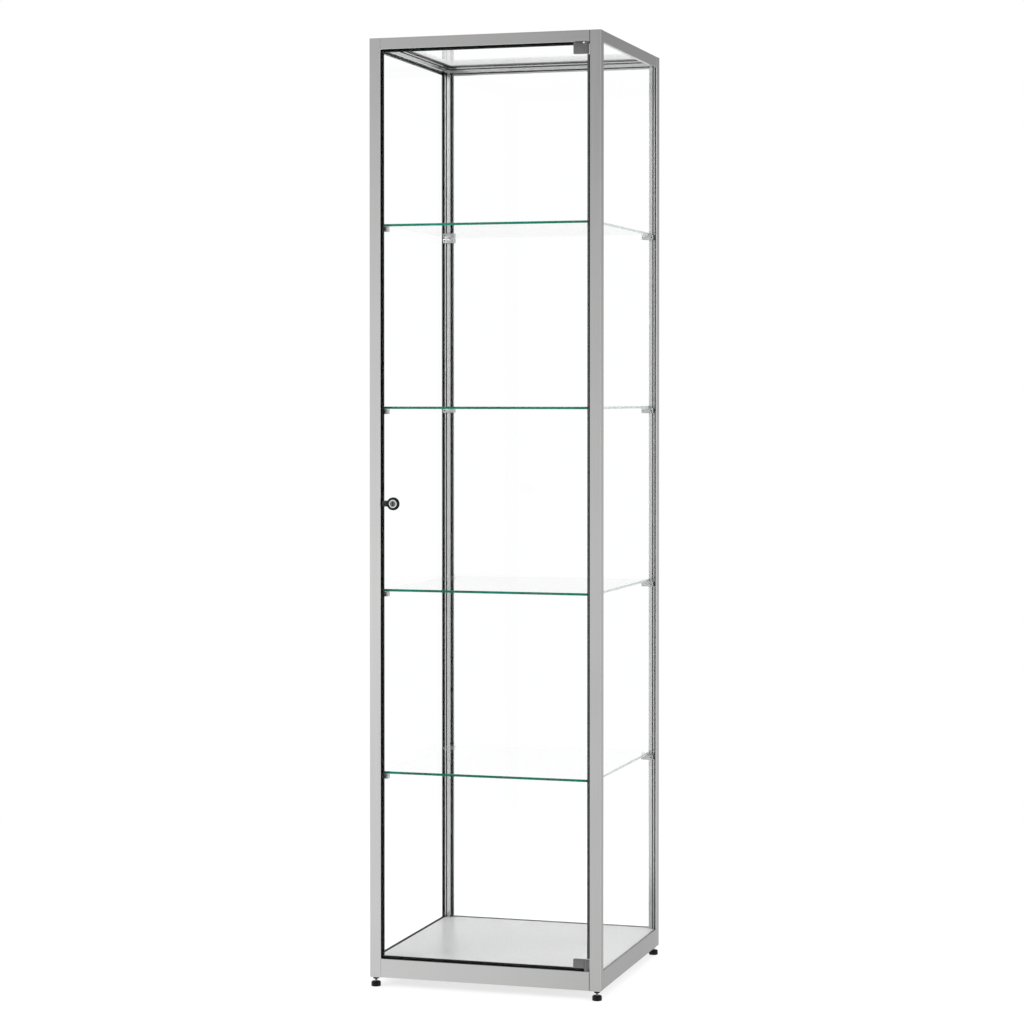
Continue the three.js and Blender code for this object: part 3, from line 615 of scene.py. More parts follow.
class FinishRack:
    """Every finish of the case, each made once and handed to the pieces that share it."""

    def __init__(self, lock_centre: Point) -> None:
        """Makes all the materials.

        Args:
            lock_centre: a point on the lock's axis, for its turned rings.
        """
        self.metal = {axis: AnodisedAluminium(axis).material() for axis in Axis}
        self.glass = {axis: ClearGlass(axis).material() for axis in (Axis.Y, Axis.Z)}
        self.top_pane = ClearGlass(Axis.Z, "bloomed_glass", index=1.06).material()
        self.side_pane = ClearGlass(Axis.X, "bloomed_glass", index=1.04).material()
        self.gasket = Rubber(
            "glazing_rubber", (0.012, 0.012, 0.013), (0.020, 0.020, 0.021)
        ).material()
        self.seal = Rubber(
            "black_seal_rubber", (0.0055, 0.0055, 0.006), (0.010, 0.010, 0.011)
        ).material()
        self.floor_sheet = CoatedSheet().material()
        self.hinge = PlatedMetal(
            "hinge_metal", (0.25, 0.25, 0.252), (0.28, 0.28, 0.282), (0.38, 0.5)
        ).material()
        self.zinc = PlatedMetal("cast_zinc", (0.46, 0.47, 0.48), (0.52, 0.53, 0.54)).material()
        self.bolt = PlatedMetal(
            "bolt_metal", (0.045, 0.045, 0.047), (0.060, 0.060, 0.062)
        ).material()
        self.screw = PlatedMetal(
            "blackened_screw", (0.05, 0.05, 0.052), (0.08, 0.08, 0.082), (0.3, 0.4)
        ).material()
        self.stud = PlatedMetal(
            "stud_steel", (0.74, 0.74, 0.745), (0.82, 0.82, 0.825)
        ).material()
        self.plastic = MouldedPlastic().material()
        self.nickel = TurnedNickel(lock_centre).material()


# ------------------------------------------------------------------ mesh making
def new_object(name: str, mesh: Mesh) -> bpy.types.Object:
    """Puts a mesh in the scene under a name."""
    made = bpy.data.objects.new(name, mesh)
    bpy.context.scene.collection.objects.link(made)
    return made


def smooth(mesh: Mesh, crease: float) -> None:
    """Smooths a mesh but for its edges over an angle in degrees."""
    mesh.polygons.foreach_set("use_smooth", [True] * len(mesh.polygons))
    mesh.set_sharp_from_angle(angle=math.radians(crease))


def full_turn(steps: int) -> list[float]:
    """Gives the angles of a turn's steps in radians."""
    return [2.0 * math.pi * step / steps for step in range(steps)]


def mesh_from(name: str, build: Builder) -> Mesh:
    """Runs a bmesh builder and gives its mesh, smooth but for edges over the crease angle.

    Args:
        name: the mesh's name.
        build: fills the bmesh that it is given.

    Returns:
        The finished mesh.
    """
    shape = bmesh.new()
    build(shape)
    bmesh.ops.recalc_face_normals(shape, faces=shape.faces)
    mesh = bpy.data.meshes.new(name)
    shape.to_mesh(mesh)
    shape.free()
    smooth(mesh, CREASE)
    return mesh


def add_turned(shape: BMesh, profile: Profile, place: Matrix, steps: int) -> None:
    """Adds a turned solid about the local Z axis.

    Args:
        shape: the bmesh that takes it.
        profile: (radius, height) points, from axis to axis or else round a closed section.
        place: where the local frame stands.
        steps: how many sides a full turn has.
    """
    rings: list[list[bmesh.types.BMVert]] = []
    for radius, height in profile:
        spots = [Vector((0.0, 0.0, height))]
        if radius >= ON_AXIS:
            spots = [
                Vector((radius * math.cos(angle), radius * math.sin(angle), height))
                for angle in full_turn(steps)
            ]
        rings.append([shape.verts.new(place @ spot) for spot in spots])
    closing = rings[:1] if len(rings[0]) > 1 else []
    for low, high in zip(rings, rings[1:] + closing):
        for step in range(steps):
            after = (step + 1) % steps
            if len(low) == 1:
                shape.faces.new((low[0], high[step], high[after]))
            elif len(high) == 1:
                shape.faces.new((low[step], low[after], high[0]))
            else:
                shape.faces.new((low[step], low[after], high[after], high[step]))


def turned(name: str, profile: Profile, place: Matrix, steps: int) -> Mesh:
    """Makes the mesh of a turned piece.

    Args:
        name: the mesh's name.
        profile: its (radius, height) section, as add_turned takes it.
        place: where its local frame stands.
        steps: how many sides a full turn has.

    Returns:
        The piece's mesh.
    """
    return mesh_from(name, lambda shape: add_turned(shape, profile, place, steps))


def add_block(shape: BMesh, low: Point, high: Point, radius: float, steps: int = 3) -> None:
    """Adds a block with all its edges rounded.

    Args:
        shape: the bmesh that takes it.
        low: the block's lowest corner.
        high: its highest corner.
        radius: the radius of its edges.
        steps: how many faces round each edge.
    """
    size = [b - a for a, b in zip(low, high)]
    middle = [(a + b) / 2 for a, b in zip(low, high)]
    place = Matrix.Translation(middle) @ Matrix.Diagonal((*size, 1.0))
    made = bmesh.ops.create_cube(shape, size=1.0, matrix=place)
    corners = set(made["verts"])
    edges = [edge for edge in shape.edges if set(edge.verts) <= corners]
    bmesh.ops.bevel(
        shape,
        geom=edges,
        offset=radius,
        segments=steps,
        profile=0.5,
        affect="EDGES",
        clamp_overlap=True,
    )


def add_hexagon_screw(shape: BMesh, place: Matrix, radius: float, depth: float) -> None:
    """Adds a socket screw's head with a hexagonal recess, its face at the local origin.

    Args:
        shape: the bmesh that takes it.
        place: the head's frame, with +Z out of its face.
        radius: the head's radius.
        depth: how far the head goes in below its face.
    """
    steps = 48
    key = radius * 0.55
    rim = radius * 0.12
    floor = -depth * 0.8

    def hexagon(angle: float) -> float:
        """The key hole's reach in one direction."""
        sector = math.pi / 3
        return key * math.cos(sector / 2) / math.cos((angle % sector) - sector / 2)

    def ring(reach: Callable[[float], float], height: float) -> list[bmesh.types.BMVert]:
        """One loop of points at a height."""
        spots = [
            Vector((reach(a) * math.cos(a), reach(a) * math.sin(a), height))
            for a in full_turn(steps)
        ]
        return [shape.verts.new(place @ spot) for spot in spots]

    loops = [
        ring(lambda a: radius, -depth),
        ring(lambda a: radius, -rim),
        ring(lambda a: radius - rim, 0.0),
        ring(hexagon, 0.0),
        ring(hexagon, floor),
    ]
    for outer, inner in zip(loops, loops[1:]):
        for step in range(steps):
            after = (step + 1) % steps
            shape.faces.new((outer[step], outer[after], inner[after], inner[step]))
    shape.faces.new(loops[0])
    shape.faces.new(loops[-1])


def combine(target: Mesh, build_tool: Builder, joining: Joining) -> Mesh:
    """Cuts a shape out of a mesh or joins it on.

    Args:
        target: the mesh that is worked on.
        build_tool: fills a bmesh with the other shape.
        joining: whether the other shape is cut out or joined on.

    Returns:
        The worked mesh.
    """
    body = new_object("worked_body", target)
    tool = new_object("working_tool", mesh_from("working_tool", build_tool))
    work = body.modifiers.new("work", "BOOLEAN")
    work.operation = joining.value
    work.solver = "EXACT"
    work.object = tool
    depsgraph = bpy.context.evaluated_depsgraph_get()
    depsgraph.update()
    result = bpy.data.meshes.new_from_object(body.evaluated_get(depsgraph))
    result.name = target.name
    smooth(result, CUT_CREASE)
    for spent in (body, tool):
        bpy.data.objects.remove(spent)
    return result


def set_down(mesh: Mesh, place: Matrix) -> Mesh:
    """Moves a mesh to its place, and turns its faces outwards again if that mirrors it."""
    mesh.transform(place)
    if place.determinant() < 0:
        mesh.flip_normals()
    return mesh


def dome(centre: Span, radius: float, start: float, end: float) -> list[tuple[float, float]]:
    """Points of an arc in a profile.

    Args:
        centre: the arc's (radius, height) centre.
        radius: the arc's own radius.
        start: its first angle in degrees, 0 pointing outwards and 90 up.
        end: its last angle in degrees.

    Returns:
        The arc's (radius, height) points.
    """
    steps = 6
    turn = [math.radians(start + (end - start) * step / steps) for step in range(steps + 1)]
    return [(centre[0] + radius * math.cos(a), centre[1] + radius * math.sin(a)) for a in turn]


def dress(node: bpy.types.Object, material: Material) -> None:
    """Gives a CAD node its finish through its material slots."""
    node.data.materials.clear()
    node.data.materials.append(material)


# ------------------------------------------------------------------ sub-assemblies
@dataclass
class SubAssembly:
    """What every sub-assembly needs: the frame's nodes and the finishes."""

    nodes: dict[str, bpy.types.Object]
    finishes: FinishRack

    def finish_nodes(self, names: Iterable[str], material: Material) -> None:
        """Dresses CAD nodes that keep their shape.

        Args:
            names: the nodes' names.
            material: the finish they get.
        """
        for name in names:
            dress(self.nodes[name], material)
            LOG.info("dressed %s with %s", name, material.name)

    def stand_in(
        self, name: str, mesh: Mesh, material: Material, body: str, node: str, slot: str
    ) -> None:
        """Puts in a finer piece for a CAD node.

        Args:
            name: the piece's name.
            mesh: its mesh, already in place.
            material: its finish.
            body: the CAD body it rides on.
            node: the CAD node it stands for.
            slot: handed on to extra, which does not use it.
        """
        piece = self.extra(name, mesh, material, body, slot)
        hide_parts(node)

    def extra(
        self, name: str, mesh: Mesh, material: Material, body: str, slot: str
    ) -> bpy.types.Object:
        """Adds a piece that no CAD node stands for.

        Args:
            name: the piece's name.
            mesh: its mesh, already in place.
            material: its finish.
            body: the CAD body it rides on.
            slot: not used.

        Returns:
            The piece.
        """
        piece = new_object(name, mesh)
        dress(piece, material)
        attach(piece, body)
        LOG.info("built %s on %s, %d faces", name, body, len(mesh.polygons))
        return piece


@dataclass
class AluminiumFrame(SubAssembly):
    """Four posts and eight rails of extruded aluminium."""

    def build(self) -> None:
        """Dresses posts and rails, each with its lines along its own length."""
        posts = [f"post_{corner.label}" for corner in Corner]
        self.finish_nodes(posts, self.finishes.metal[Axis.Z])
        for level in ("top_rail", "bottom_rail"):
            self.finish_nodes([f"{level}_front", f"{level}_back"], self.finishes.metal[Axis.X])
            self.finish_nodes([f"{level}_left", f"{level}_right"], self.finishes.metal[Axis.Y])


@dataclass
class Glazing(SubAssembly):
    """Three wall panes, the top pane, their rubber channels and the floor panel."""

    def build(self) -> None:
        """Dresses the glass by the direction across each pane, and what holds it."""
        self.finish_nodes(["side_glass_left", "side_glass_right"], self.finishes.side_pane)
        self.finish_nodes(["back_glass"], self.finishes.glass[Axis.Y])
        self.finish_nodes(["top_glass"], self.finishes.top_pane)
        channels = [f"glazing_gasket_{side}" for side in ("left", "right", "back", "top")]
        self.finish_nodes(channels, self.finishes.gasket)
        self.finish_nodes(["base_panel"], self.finishes.floor_sheet)
        self.finish_nodes(["door_seal", "door_seal_hinge_side"], self.finishes.seal)


@dataclass
class PivotHinges(SubAssembly):
    """Two clamps that hold the door glass and turn on pins at its right-hand corners."""

    axis_x: float = 220.5 * MM
    front: float = -247.0 * MM
    low_edge: float = 60.0 * MM
    high_edge: float = 1960.0 * MM
    reach: float = 28.0 * MM
    rise: float = 24.4 * MM
    rim_gap: float = 0.4 * MM
    seal_space: float = 6.0 * MM
    plate: float = 2.6 * MM
    slip: float = 0.1 * MM
    glass: float = 5.0 * MM
    knuckle: float = 5.0 * MM
    knuckle_drop: float = 3.4 * MM
    knuckle_gap: float = 0.3 * MM
    knuckle_chamfer: float = 0.4 * MM
    bore: float = 2.1 * MM
    rib_inset: float = 1.0 * MM
    edge_radius: float = 0.6 * MM
    web_radius: float = 0.2 * MM
    screw_radius: float = 2.3 * MM
    screw_depth: float = 0.9 * MM
    screw_proud: float = 0.5 * MM
    screw_inset: float = 2.0 * MM
    screw_places: Span = (0.30, 0.72)
    screw_rise: float = 0.58

    def knuckle_profile(self) -> Profile:
        """The section of the bored knuckle that turns on the pivot."""
        chamfer = self.knuckle_chamfer
        return [
            (self.bore, self.knuckle_drop),
            (self.knuckle - chamfer, self.knuckle_drop),
            (self.knuckle, self.knuckle_drop + chamfer),
            (self.knuckle, self.rise - chamfer),
            (self.knuckle - chamfer, self.rise),
            (self.bore, self.rise),
        ]

    def clamp_mesh(self, rim_gap: float) -> Mesh:
        """Builds a clamp about its own axis, z away from the opening's edge.

        Args:
            rim_gap: how far its plates stay from the opening's edge.

        Returns:
            The clamp's mesh.
        """
        drop = self.knuckle_drop
        low = max(rim_gap, drop)
        high = self.rise
        front = (-self.slip - self.plate, -self.slip)
        back = (self.glass + self.slip, self.glass + self.slip + self.plate)
        rim = -self.knuckle - self.knuckle_gap - self.plate
        rib = -self.reach + self.rib_inset
        front_end = -self.knuckle * 0.5
        back_end = -self.knuckle * 0.8
        web_end = -self.knuckle * 0.62
        plates = (
            ((-self.reach, front[0], rim_gap), (rim, front[1], high), self.edge_radius),
            ((rib, front[0], low), (front_end, front[1], high), self.edge_radius),
            ((-self.reach, back[0], low), (back_end, back[1], high), self.edge_radius),
            ((-self.knuckle, front[0], drop), (web_end, back[1], high), self.web_radius),
        )
        clamp = turned("hinge_clamp", self.knuckle_profile(), Matrix.Identity(4), steps=48)
        for start, end, radius in plates:
            clamp = combine(clamp, lambda shape: add_block(shape, start, end, radius), Joining.WELD)
        return clamp

    def screws_mesh(self) -> Mesh:
        """Builds the two clamping screws on the inner plate, in the clamp's own frame."""
        inner = self.glass + self.slip + self.plate

        def build(shape: BMesh) -> None:
            """Two socket heads that face into the case."""
            for across in self.screw_places:
                x = -self.reach * across - self.screw_inset
                spot = Vector((x, inner + self.screw_proud, self.rise * self.screw_rise))
                facing = Matrix.Translation(spot) @ INTO_CASE
                add_hexagon_screw(shape, facing, self.screw_radius, self.screw_depth)

        return mesh_from("clamp_screws", build)

    def build(self) -> None:
        """Puts both hinges in, the top one as the mirror image of the bottom one."""
        for end, edge, flip, seal_space in (
            (HingeEnd.BOTTOM, self.low_edge, 1.0, self.seal_space),
            (HingeEnd.TOP, self.high_edge, -1.0, 0.0),
        ):
            stand = Matrix.Translation((self.axis_x, self.front, edge))
            place = stand @ Matrix.Diagonal((1.0, 1.0, flip, 1.0))
            clamp = set_down(self.clamp_mesh(self.rim_gap + seal_space), place)
            screws = set_down(self.screws_mesh(), place)
            self.stand_in(
                f"door_clamp_{end.value}",
                clamp,
                self.finishes.hinge,
                "door",
                f"hinge_clamp_{end.value}",
                "hinge_metal",
            )
            screws_name = f"clamp_screws_{end.value}"
            self.extra(screws_name, screws, self.finishes.screw, "door", "hinge_metal")
        self.finish_nodes(["hinge_pivot_bottom", "hinge_pivot_top"], self.finishes.hinge)


@dataclass
class CamLock(SubAssembly):
    """The lock through the door glass: a black rosette, its plug, bolt and case."""

    centre: Point = (-197.0 * MM, -247.0 * MM, 1013.0 * MM)
    rosette: float = 13.5 * MM
    rosette_round: float = 1.6 * MM
    stand: float = 6.0 * MM
    edge: float = 0.5 * MM
    back_edge: float = 0.4 * MM
    glass_gap: float = 0.1 * MM
    barrel: float = 8.2 * MM
    barrel_end: float = 6.2 * MM
    plug: float = 9.0 * MM
    shaft: float = 6.0 * MM
    plug_head: float = 3.5 * MM
    plug_sink: float = 0.3 * MM
    shaft_proud: float = 0.3 * MM
    dish_sink: float = 0.35 * MM
    groove_share: float = 0.62
    groove_sink: float = 0.8 * MM
    groove_inner: Span = (0.7 * MM, 0.4 * MM)
    groove_outer: Span = (0.3 * MM, 0.7 * MM)
    clearance: float = 0.15 * MM
    key_width: float = 2.2 * MM
    key_length: float = 9.0 * MM
    key_depth: float = 2.2 * MM
    key_round: float = 0.3 * MM
    key_overcut: float = 1.0 * MM
    throat_gap: float = 0.05 * MM
    throat_sink: float = 1.2 * MM
    throat_round: float = 0.1 * MM
    bolt_back: float = 8.8 * MM
    crank_throw: float = 2.6 * MM
    crank_pin: float = 1.25 * MM
    crank_tip: float = 0.95 * MM
    crank_chamfer: float = 0.3 * MM

    @property
    def place(self) -> Matrix:
        """The lock's frame: local +Z runs into the case from its front plane."""
        return Matrix.Translation(self.centre) @ INTO_CASE

    def rosette_mesh(self) -> Mesh:
        """Builds the rosette and barrel as one turned piece with a rounded rim."""
        bore = self.plug + self.clearance
        shaft = self.shaft + self.clearance
        floor = -self.stand + self.plug_head + self.edge
        rim = self.rosette_round
        profile = [
            (bore, floor),
            (bore, -self.stand + self.edge),
            (bore + self.edge, -self.stand),
            (self.rosette - rim, -self.stand),
            *dome((self.rosette - rim, -self.stand + rim), rim, -90.0, 0.0)[1:],
            (self.rosette, -self.edge),
            (self.rosette - self.back_edge, -self.glass_gap),
            (self.barrel, -self.glass_gap),
            (self.barrel, self.barrel_end),
            (shaft, self.barrel_end),
            (shaft, floor),
        ]
        return turned("lock_rosette", profile, self.place, steps=96)

    def plug_mesh(self) -> Mesh:
        """Builds the plug with a turned ring on its face and the key's slot cut in."""
        face = -self.stand + self.plug_sink
        dish = face + self.dish_sink
        groove = self.plug * self.groove_share
        groove_floor = face + self.groove_sink
        inner_end = self.barrel_end + self.shaft_proud
        profile = [
            (0.0, dish),
            (groove - self.groove_inner[0], dish),
            (groove - self.groove_inner[1], groove_floor),
            (groove + self.groove_outer[0], groove_floor),
            (groove + self.groove_outer[1], face),
            (self.plug - self.edge, face),
            (self.plug, face + self.edge),
            (self.plug, face + self.plug_head),
            (self.shaft, face + self.plug_head),
            (self.shaft, inner_end),
            (0.0, inner_end),
        ]

        def slot(shape: BMesh) -> None:
            """The key's slot."""
            x, y, z = self.centre
            front = y - self.stand - self.key_overcut
            back = y - self.stand + self.key_depth
            half, tall = self.key_width / 2, self.key_length / 2
            low, high = (x - half, front, z - tall), (x + half, back, z + tall)
            add_block(shape, low, high, self.key_round, steps=2)

        return combine(turned("lock_plug", profile, self.place, steps=96), slot, Joining.CUT)

    def keyway_shade_plate_mesh(self) -> Mesh:
        """Builds the black plate of painted shade that closes the keyway below its mouth, in place
        of the shade in its depth.
        """
        x, y, z = self.centre
        half = self.key_width / 2 - self.throat_gap
        tall = self.key_length / 2 - self.throat_gap
        front, back = y - self.stand + self.throat_sink, y - self.stand + self.key_depth

        def build(shape: BMesh) -> None:
            """A plate that closes the keyway's depth, painted black for its shade."""
            low, high = (x - half, front, z - tall), (x + half, back, z + tall)
            add_block(shape, low, high, self.throat_round, steps=1)

        return mesh_from("lock_keyway_shade_plate", build)

    def crank_mesh(self) -> Mesh:
        """Builds the crank pin that stands off the plug's inner end."""
        start, end = self.barrel_end, self.bolt_back
        place = self.place @ Matrix.Translation((self.crank_throw, -self.crank_throw, 0.0))
        profile = [
            (0.0, start),
            (self.crank_pin, start),
            (self.crank_pin, end - self.crank_chamfer),
            (self.crank_tip, end),
            (0.0, end),
        ]
        return turned("crank_pin", profile, place, steps=32)

    def build(self) -> None:
        """Puts the lock in; its bolt and case keep their CAD shape."""
        looks = self.finishes
        turning = "lock_plug_body"
        self.stand_in(
            "lock_rosette",
            self.rosette_mesh(),
            looks.plastic,
            "door",
            "lock_barrel",
            "black_plastic",
        )
        self.stand_in(
            "lock_turning_plug",
            self.plug_mesh(),
            looks.nickel,
            turning,
            "lock_plug",
            "lock_nickel",
        )
        # painted shade: a black plate stands in for the shade deep in the keyway
        self.extra("lock_keyway_shade_plate", self.keyway_shade_plate_mesh(), looks.plastic, turning, "lock_nickel")
        self.extra("lock_crank_pin", self.crank_mesh(), looks.stud, turning, "lock_nickel")
        self.finish_nodes(["lock_bolt"], looks.bolt)
        self.finish_nodes(["lock_case"], looks.plastic)


@dataclass
class GlassDoor(SubAssembly):
    """The door: one sheet of glass with its hinges and its lock."""

    def build(self) -> None:
        """Dresses the glass and builds what it carries."""
        self.finish_nodes(["door_glass"], self.finishes.glass[Axis.Y])
        PivotHinges(self.nodes, self.finishes).build()
        CamLock(self.nodes, self.finishes).build()


@dataclass
class ShelfSupports(SubAssembly):
    """The die-cast supports that hang in the posts' slots and carry a shelf's corners."""

    inner_edge: float = 7.5 * MM
    reach: float = 33.5 * MM
    face: float = 19.3 * MM
    depth: float = 14.0 * MM
    height: float = 10.6 * MM
    slot_centre: float = 11.2 * MM
    neck: float = 1.1 * MM
    head: float = 2.3 * MM
    head_start: float = 15.3 * MM
    head_end: float = 17.1 * MM
    tongue_root: float = 1.0 * MM
    tongue_radius: float = 0.1 * MM
    edge_radius: float = 0.9 * MM
    screw_radius: float = 1.7 * MM
    screw_depth: float = 2.5 * MM
    screw_gap: float = 0.05 * MM
    screw_sink: float = 0.9 * MM
    screw_head: float = 1.4 * MM

    def arm_mesh(self) -> Mesh:
        """Builds a support from the corner's outer faces, u along the front and v inwards.

        Returns:
            The support's mesh, with its top at z = 0.
        """
        back = self.face + self.depth

        def body(shape: BMesh) -> None:
            """The arm itself."""
            low = (self.inner_edge, self.face, -self.height)
            add_block(shape, low, (self.reach, back, 0.0), self.edge_radius)

        def screw_hole(shape: BMesh) -> None:
            """The recess of the gripping screw."""
            spot = (self.slot_centre, back - self.screw_depth, -self.height / 2)
            end = 2 * self.screw_depth
            profile = [(0.0, 0.0), (self.screw_radius, 0.0), (self.screw_radius, end), (0.0, end)]
            add_turned(shape, profile, Matrix.Translation(spot) @ INTO_CASE, steps=32)

        arm = combine(mesh_from("support_arm", body), screw_hole, Joining.CUT)

        def with_tongue(shape: BMesh) -> None:
            """The arm with the neck and head of its tongue in the post's slot."""
            shape.from_mesh(arm)
            for half, end in (
                (self.neck, self.face + self.tongue_root),
                (self.head, self.head_end),
            ):
                low = (self.slot_centre - half, self.head_start, -self.height)
                high = (self.slot_centre + half, end, 0.0)
                add_block(shape, low, high, self.tongue_radius, steps=1)

        return mesh_from("shelf_support", with_tongue)

    def screw_mesh(self) -> Mesh:
        """Builds the gripping screw that sits in the arm's recess, in the same frame."""
        back = self.face + self.depth
        spot = Matrix.Translation((self.slot_centre, back - self.screw_sink, -self.height / 2))
        radius = self.screw_radius - self.screw_gap
        return mesh_from(
            "grip_screw",
            lambda shape: add_hexagon_screw(shape, spot @ INTO_CASE, radius, self.screw_head),
        )

    def build(self) -> None:
        """Puts four supports under each shelf, mirrored from corner to corner."""
        arm, screw = self.arm_mesh(), self.screw_mesh()
        looks = self.finishes
        for number in range(1, SHELF_COUNT + 1):
            body = f"shelf_{number}_body"
            for corner in Corner:
                spot = f"{number}_{corner.label}"
                node = f"support_{spot}"
                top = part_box(node)[1].z
                origin = (corner.side * HALF_WIDTH, corner.depth * HALF_WIDTH + SETBACK, top)
                mirror = Matrix.Diagonal((-corner.side, -corner.depth, 1.0, 1.0))
                place = Matrix.Translation(origin) @ mirror
                carrier = set_down(arm.copy(), place)
                grip = set_down(screw.copy(), place)
                self.stand_in(f"shelf_support_{spot}", carrier, looks.zinc, body, node, "cast_zinc")
                self.extra(f"grip_screw_{spot}", grip, looks.screw, body, "cast_zinc")


@dataclass
class GlassShelves(SubAssembly):
    """Four glass shelves on their supports."""

    def build(self) -> None:
        """Dresses the shelves and builds their supports."""
        shelves = [f"shelf_{number}" for number in range(1, SHELF_COUNT + 1)]
        self.finish_nodes(shelves, self.finishes.glass[Axis.Z])
        ShelfSupports(self.nodes, self.finishes).build()


@dataclass
class LevellingFeet(SubAssembly):
    """A black pad on a threaded stud at each corner, in an insert with a collar."""

    inset: float = 10.0 * MM
    pad: float = 10.0 * MM
    pad_height: float = 10.6 * MM
    pad_edge: float = 1.2 * MM
    pad_shoulder: float = 3.0 * MM
    neck_foot: float = 1.6 * MM
    neck_top: float = 1.2 * MM
    neck_rise: float = 0.1 * MM
    stud: float = 2.5 * MM
    thread_pitch: float = 0.8 * MM
    thread_depth: float = 0.3 * MM
    thread_overlap: float = 1.0 * MM
    stud_top: float = 37.6 * MM
    collar: float = 6.2 * MM
    collar_low: float = 15.7 * MM
    collar_high: float = 19.9 * MM
    collar_round: float = 0.8 * MM
    insert: float = 3.8 * MM
    insert_top: float = 44.0 * MM
    bore_gap: float = 0.12 * MM

    def pad_profile(self) -> Profile:
        """The pad: a soft edge on the floor and a rounded shoulder above."""
        low, shoulder = self.pad_edge, self.pad_shoulder
        top = self.pad_height
        return [
            (0.0, 0.0),
            (self.pad - low, 0.0),
            *dome((self.pad - low, low), low, -90.0, 0.0)[1:],
            *dome((self.pad - shoulder, top - shoulder), shoulder, 0.0, 80.0),
            (self.stud + self.neck_foot, top - self.neck_rise),
            (self.stud + self.neck_top, top),
            (0.0, top),
        ]

    def stud_profile(self) -> Profile:
        """The stud, with the rings of its thread where it shows."""
        foot = self.pad_height - self.thread_overlap
        root = self.stud - self.thread_depth
        points = [(0.0, foot), (self.stud, foot)]
        height = self.pad_height
        while height < self.collar_low + self.thread_overlap:
            points += [(self.stud, height), (root, height + self.thread_pitch / 2)]
            height += self.thread_pitch
        return [*points, (self.stud, self.stud_top), (0.0, self.stud_top)]

    def insert_profile(self) -> Profile:
        """The insert with its rounded collar, bored for the stud."""
        bore = self.stud + self.bore_gap
        soft = self.collar_round
        return [
            (bore, self.collar_low),
            *dome((self.collar - soft, self.collar_low + soft), soft, -90.0, 0.0),
            (self.collar, self.collar_high),
            (self.insert, self.collar_high),
            (self.insert, self.insert_top),
            (bore, self.insert_top),
        ]

    def build(self) -> None:
        """Puts a foot and an insert in at each corner."""
        looks = self.finishes
        reach = HALF_WIDTH - self.inset
        for corner in Corner:
            where = corner.label
            body = f"foot_{where}_body"
            place = Matrix.Translation((corner.side * reach, corner.depth * reach + SETBACK, 0.0))
            for label, profile, rides, node in (
                ("foot_pad", self.pad_profile(), body, f"foot_{where}"),
                ("foot_collar", self.insert_profile(), "frame", f"foot_insert_{where}"),
            ):
                mesh = turned(label, profile, place, steps=72)
                name = f"{label}_{where}"
                self.stand_in(name, mesh, looks.plastic, rides, node, "black_plastic")
            stud = turned("foot_stud", self.stud_profile(), place, steps=40)
            self.extra(f"foot_stud_{where}", stud, looks.stud, body, "black_plastic")


# ------------------------------------------------------------------ the studio
@dataclass(frozen=True)
class SoftLamp:
    """A square lamp: its name, where it hangs, its width in metres and its power in watts."""

    name: str
    spot: Point
    width: float
    power: float


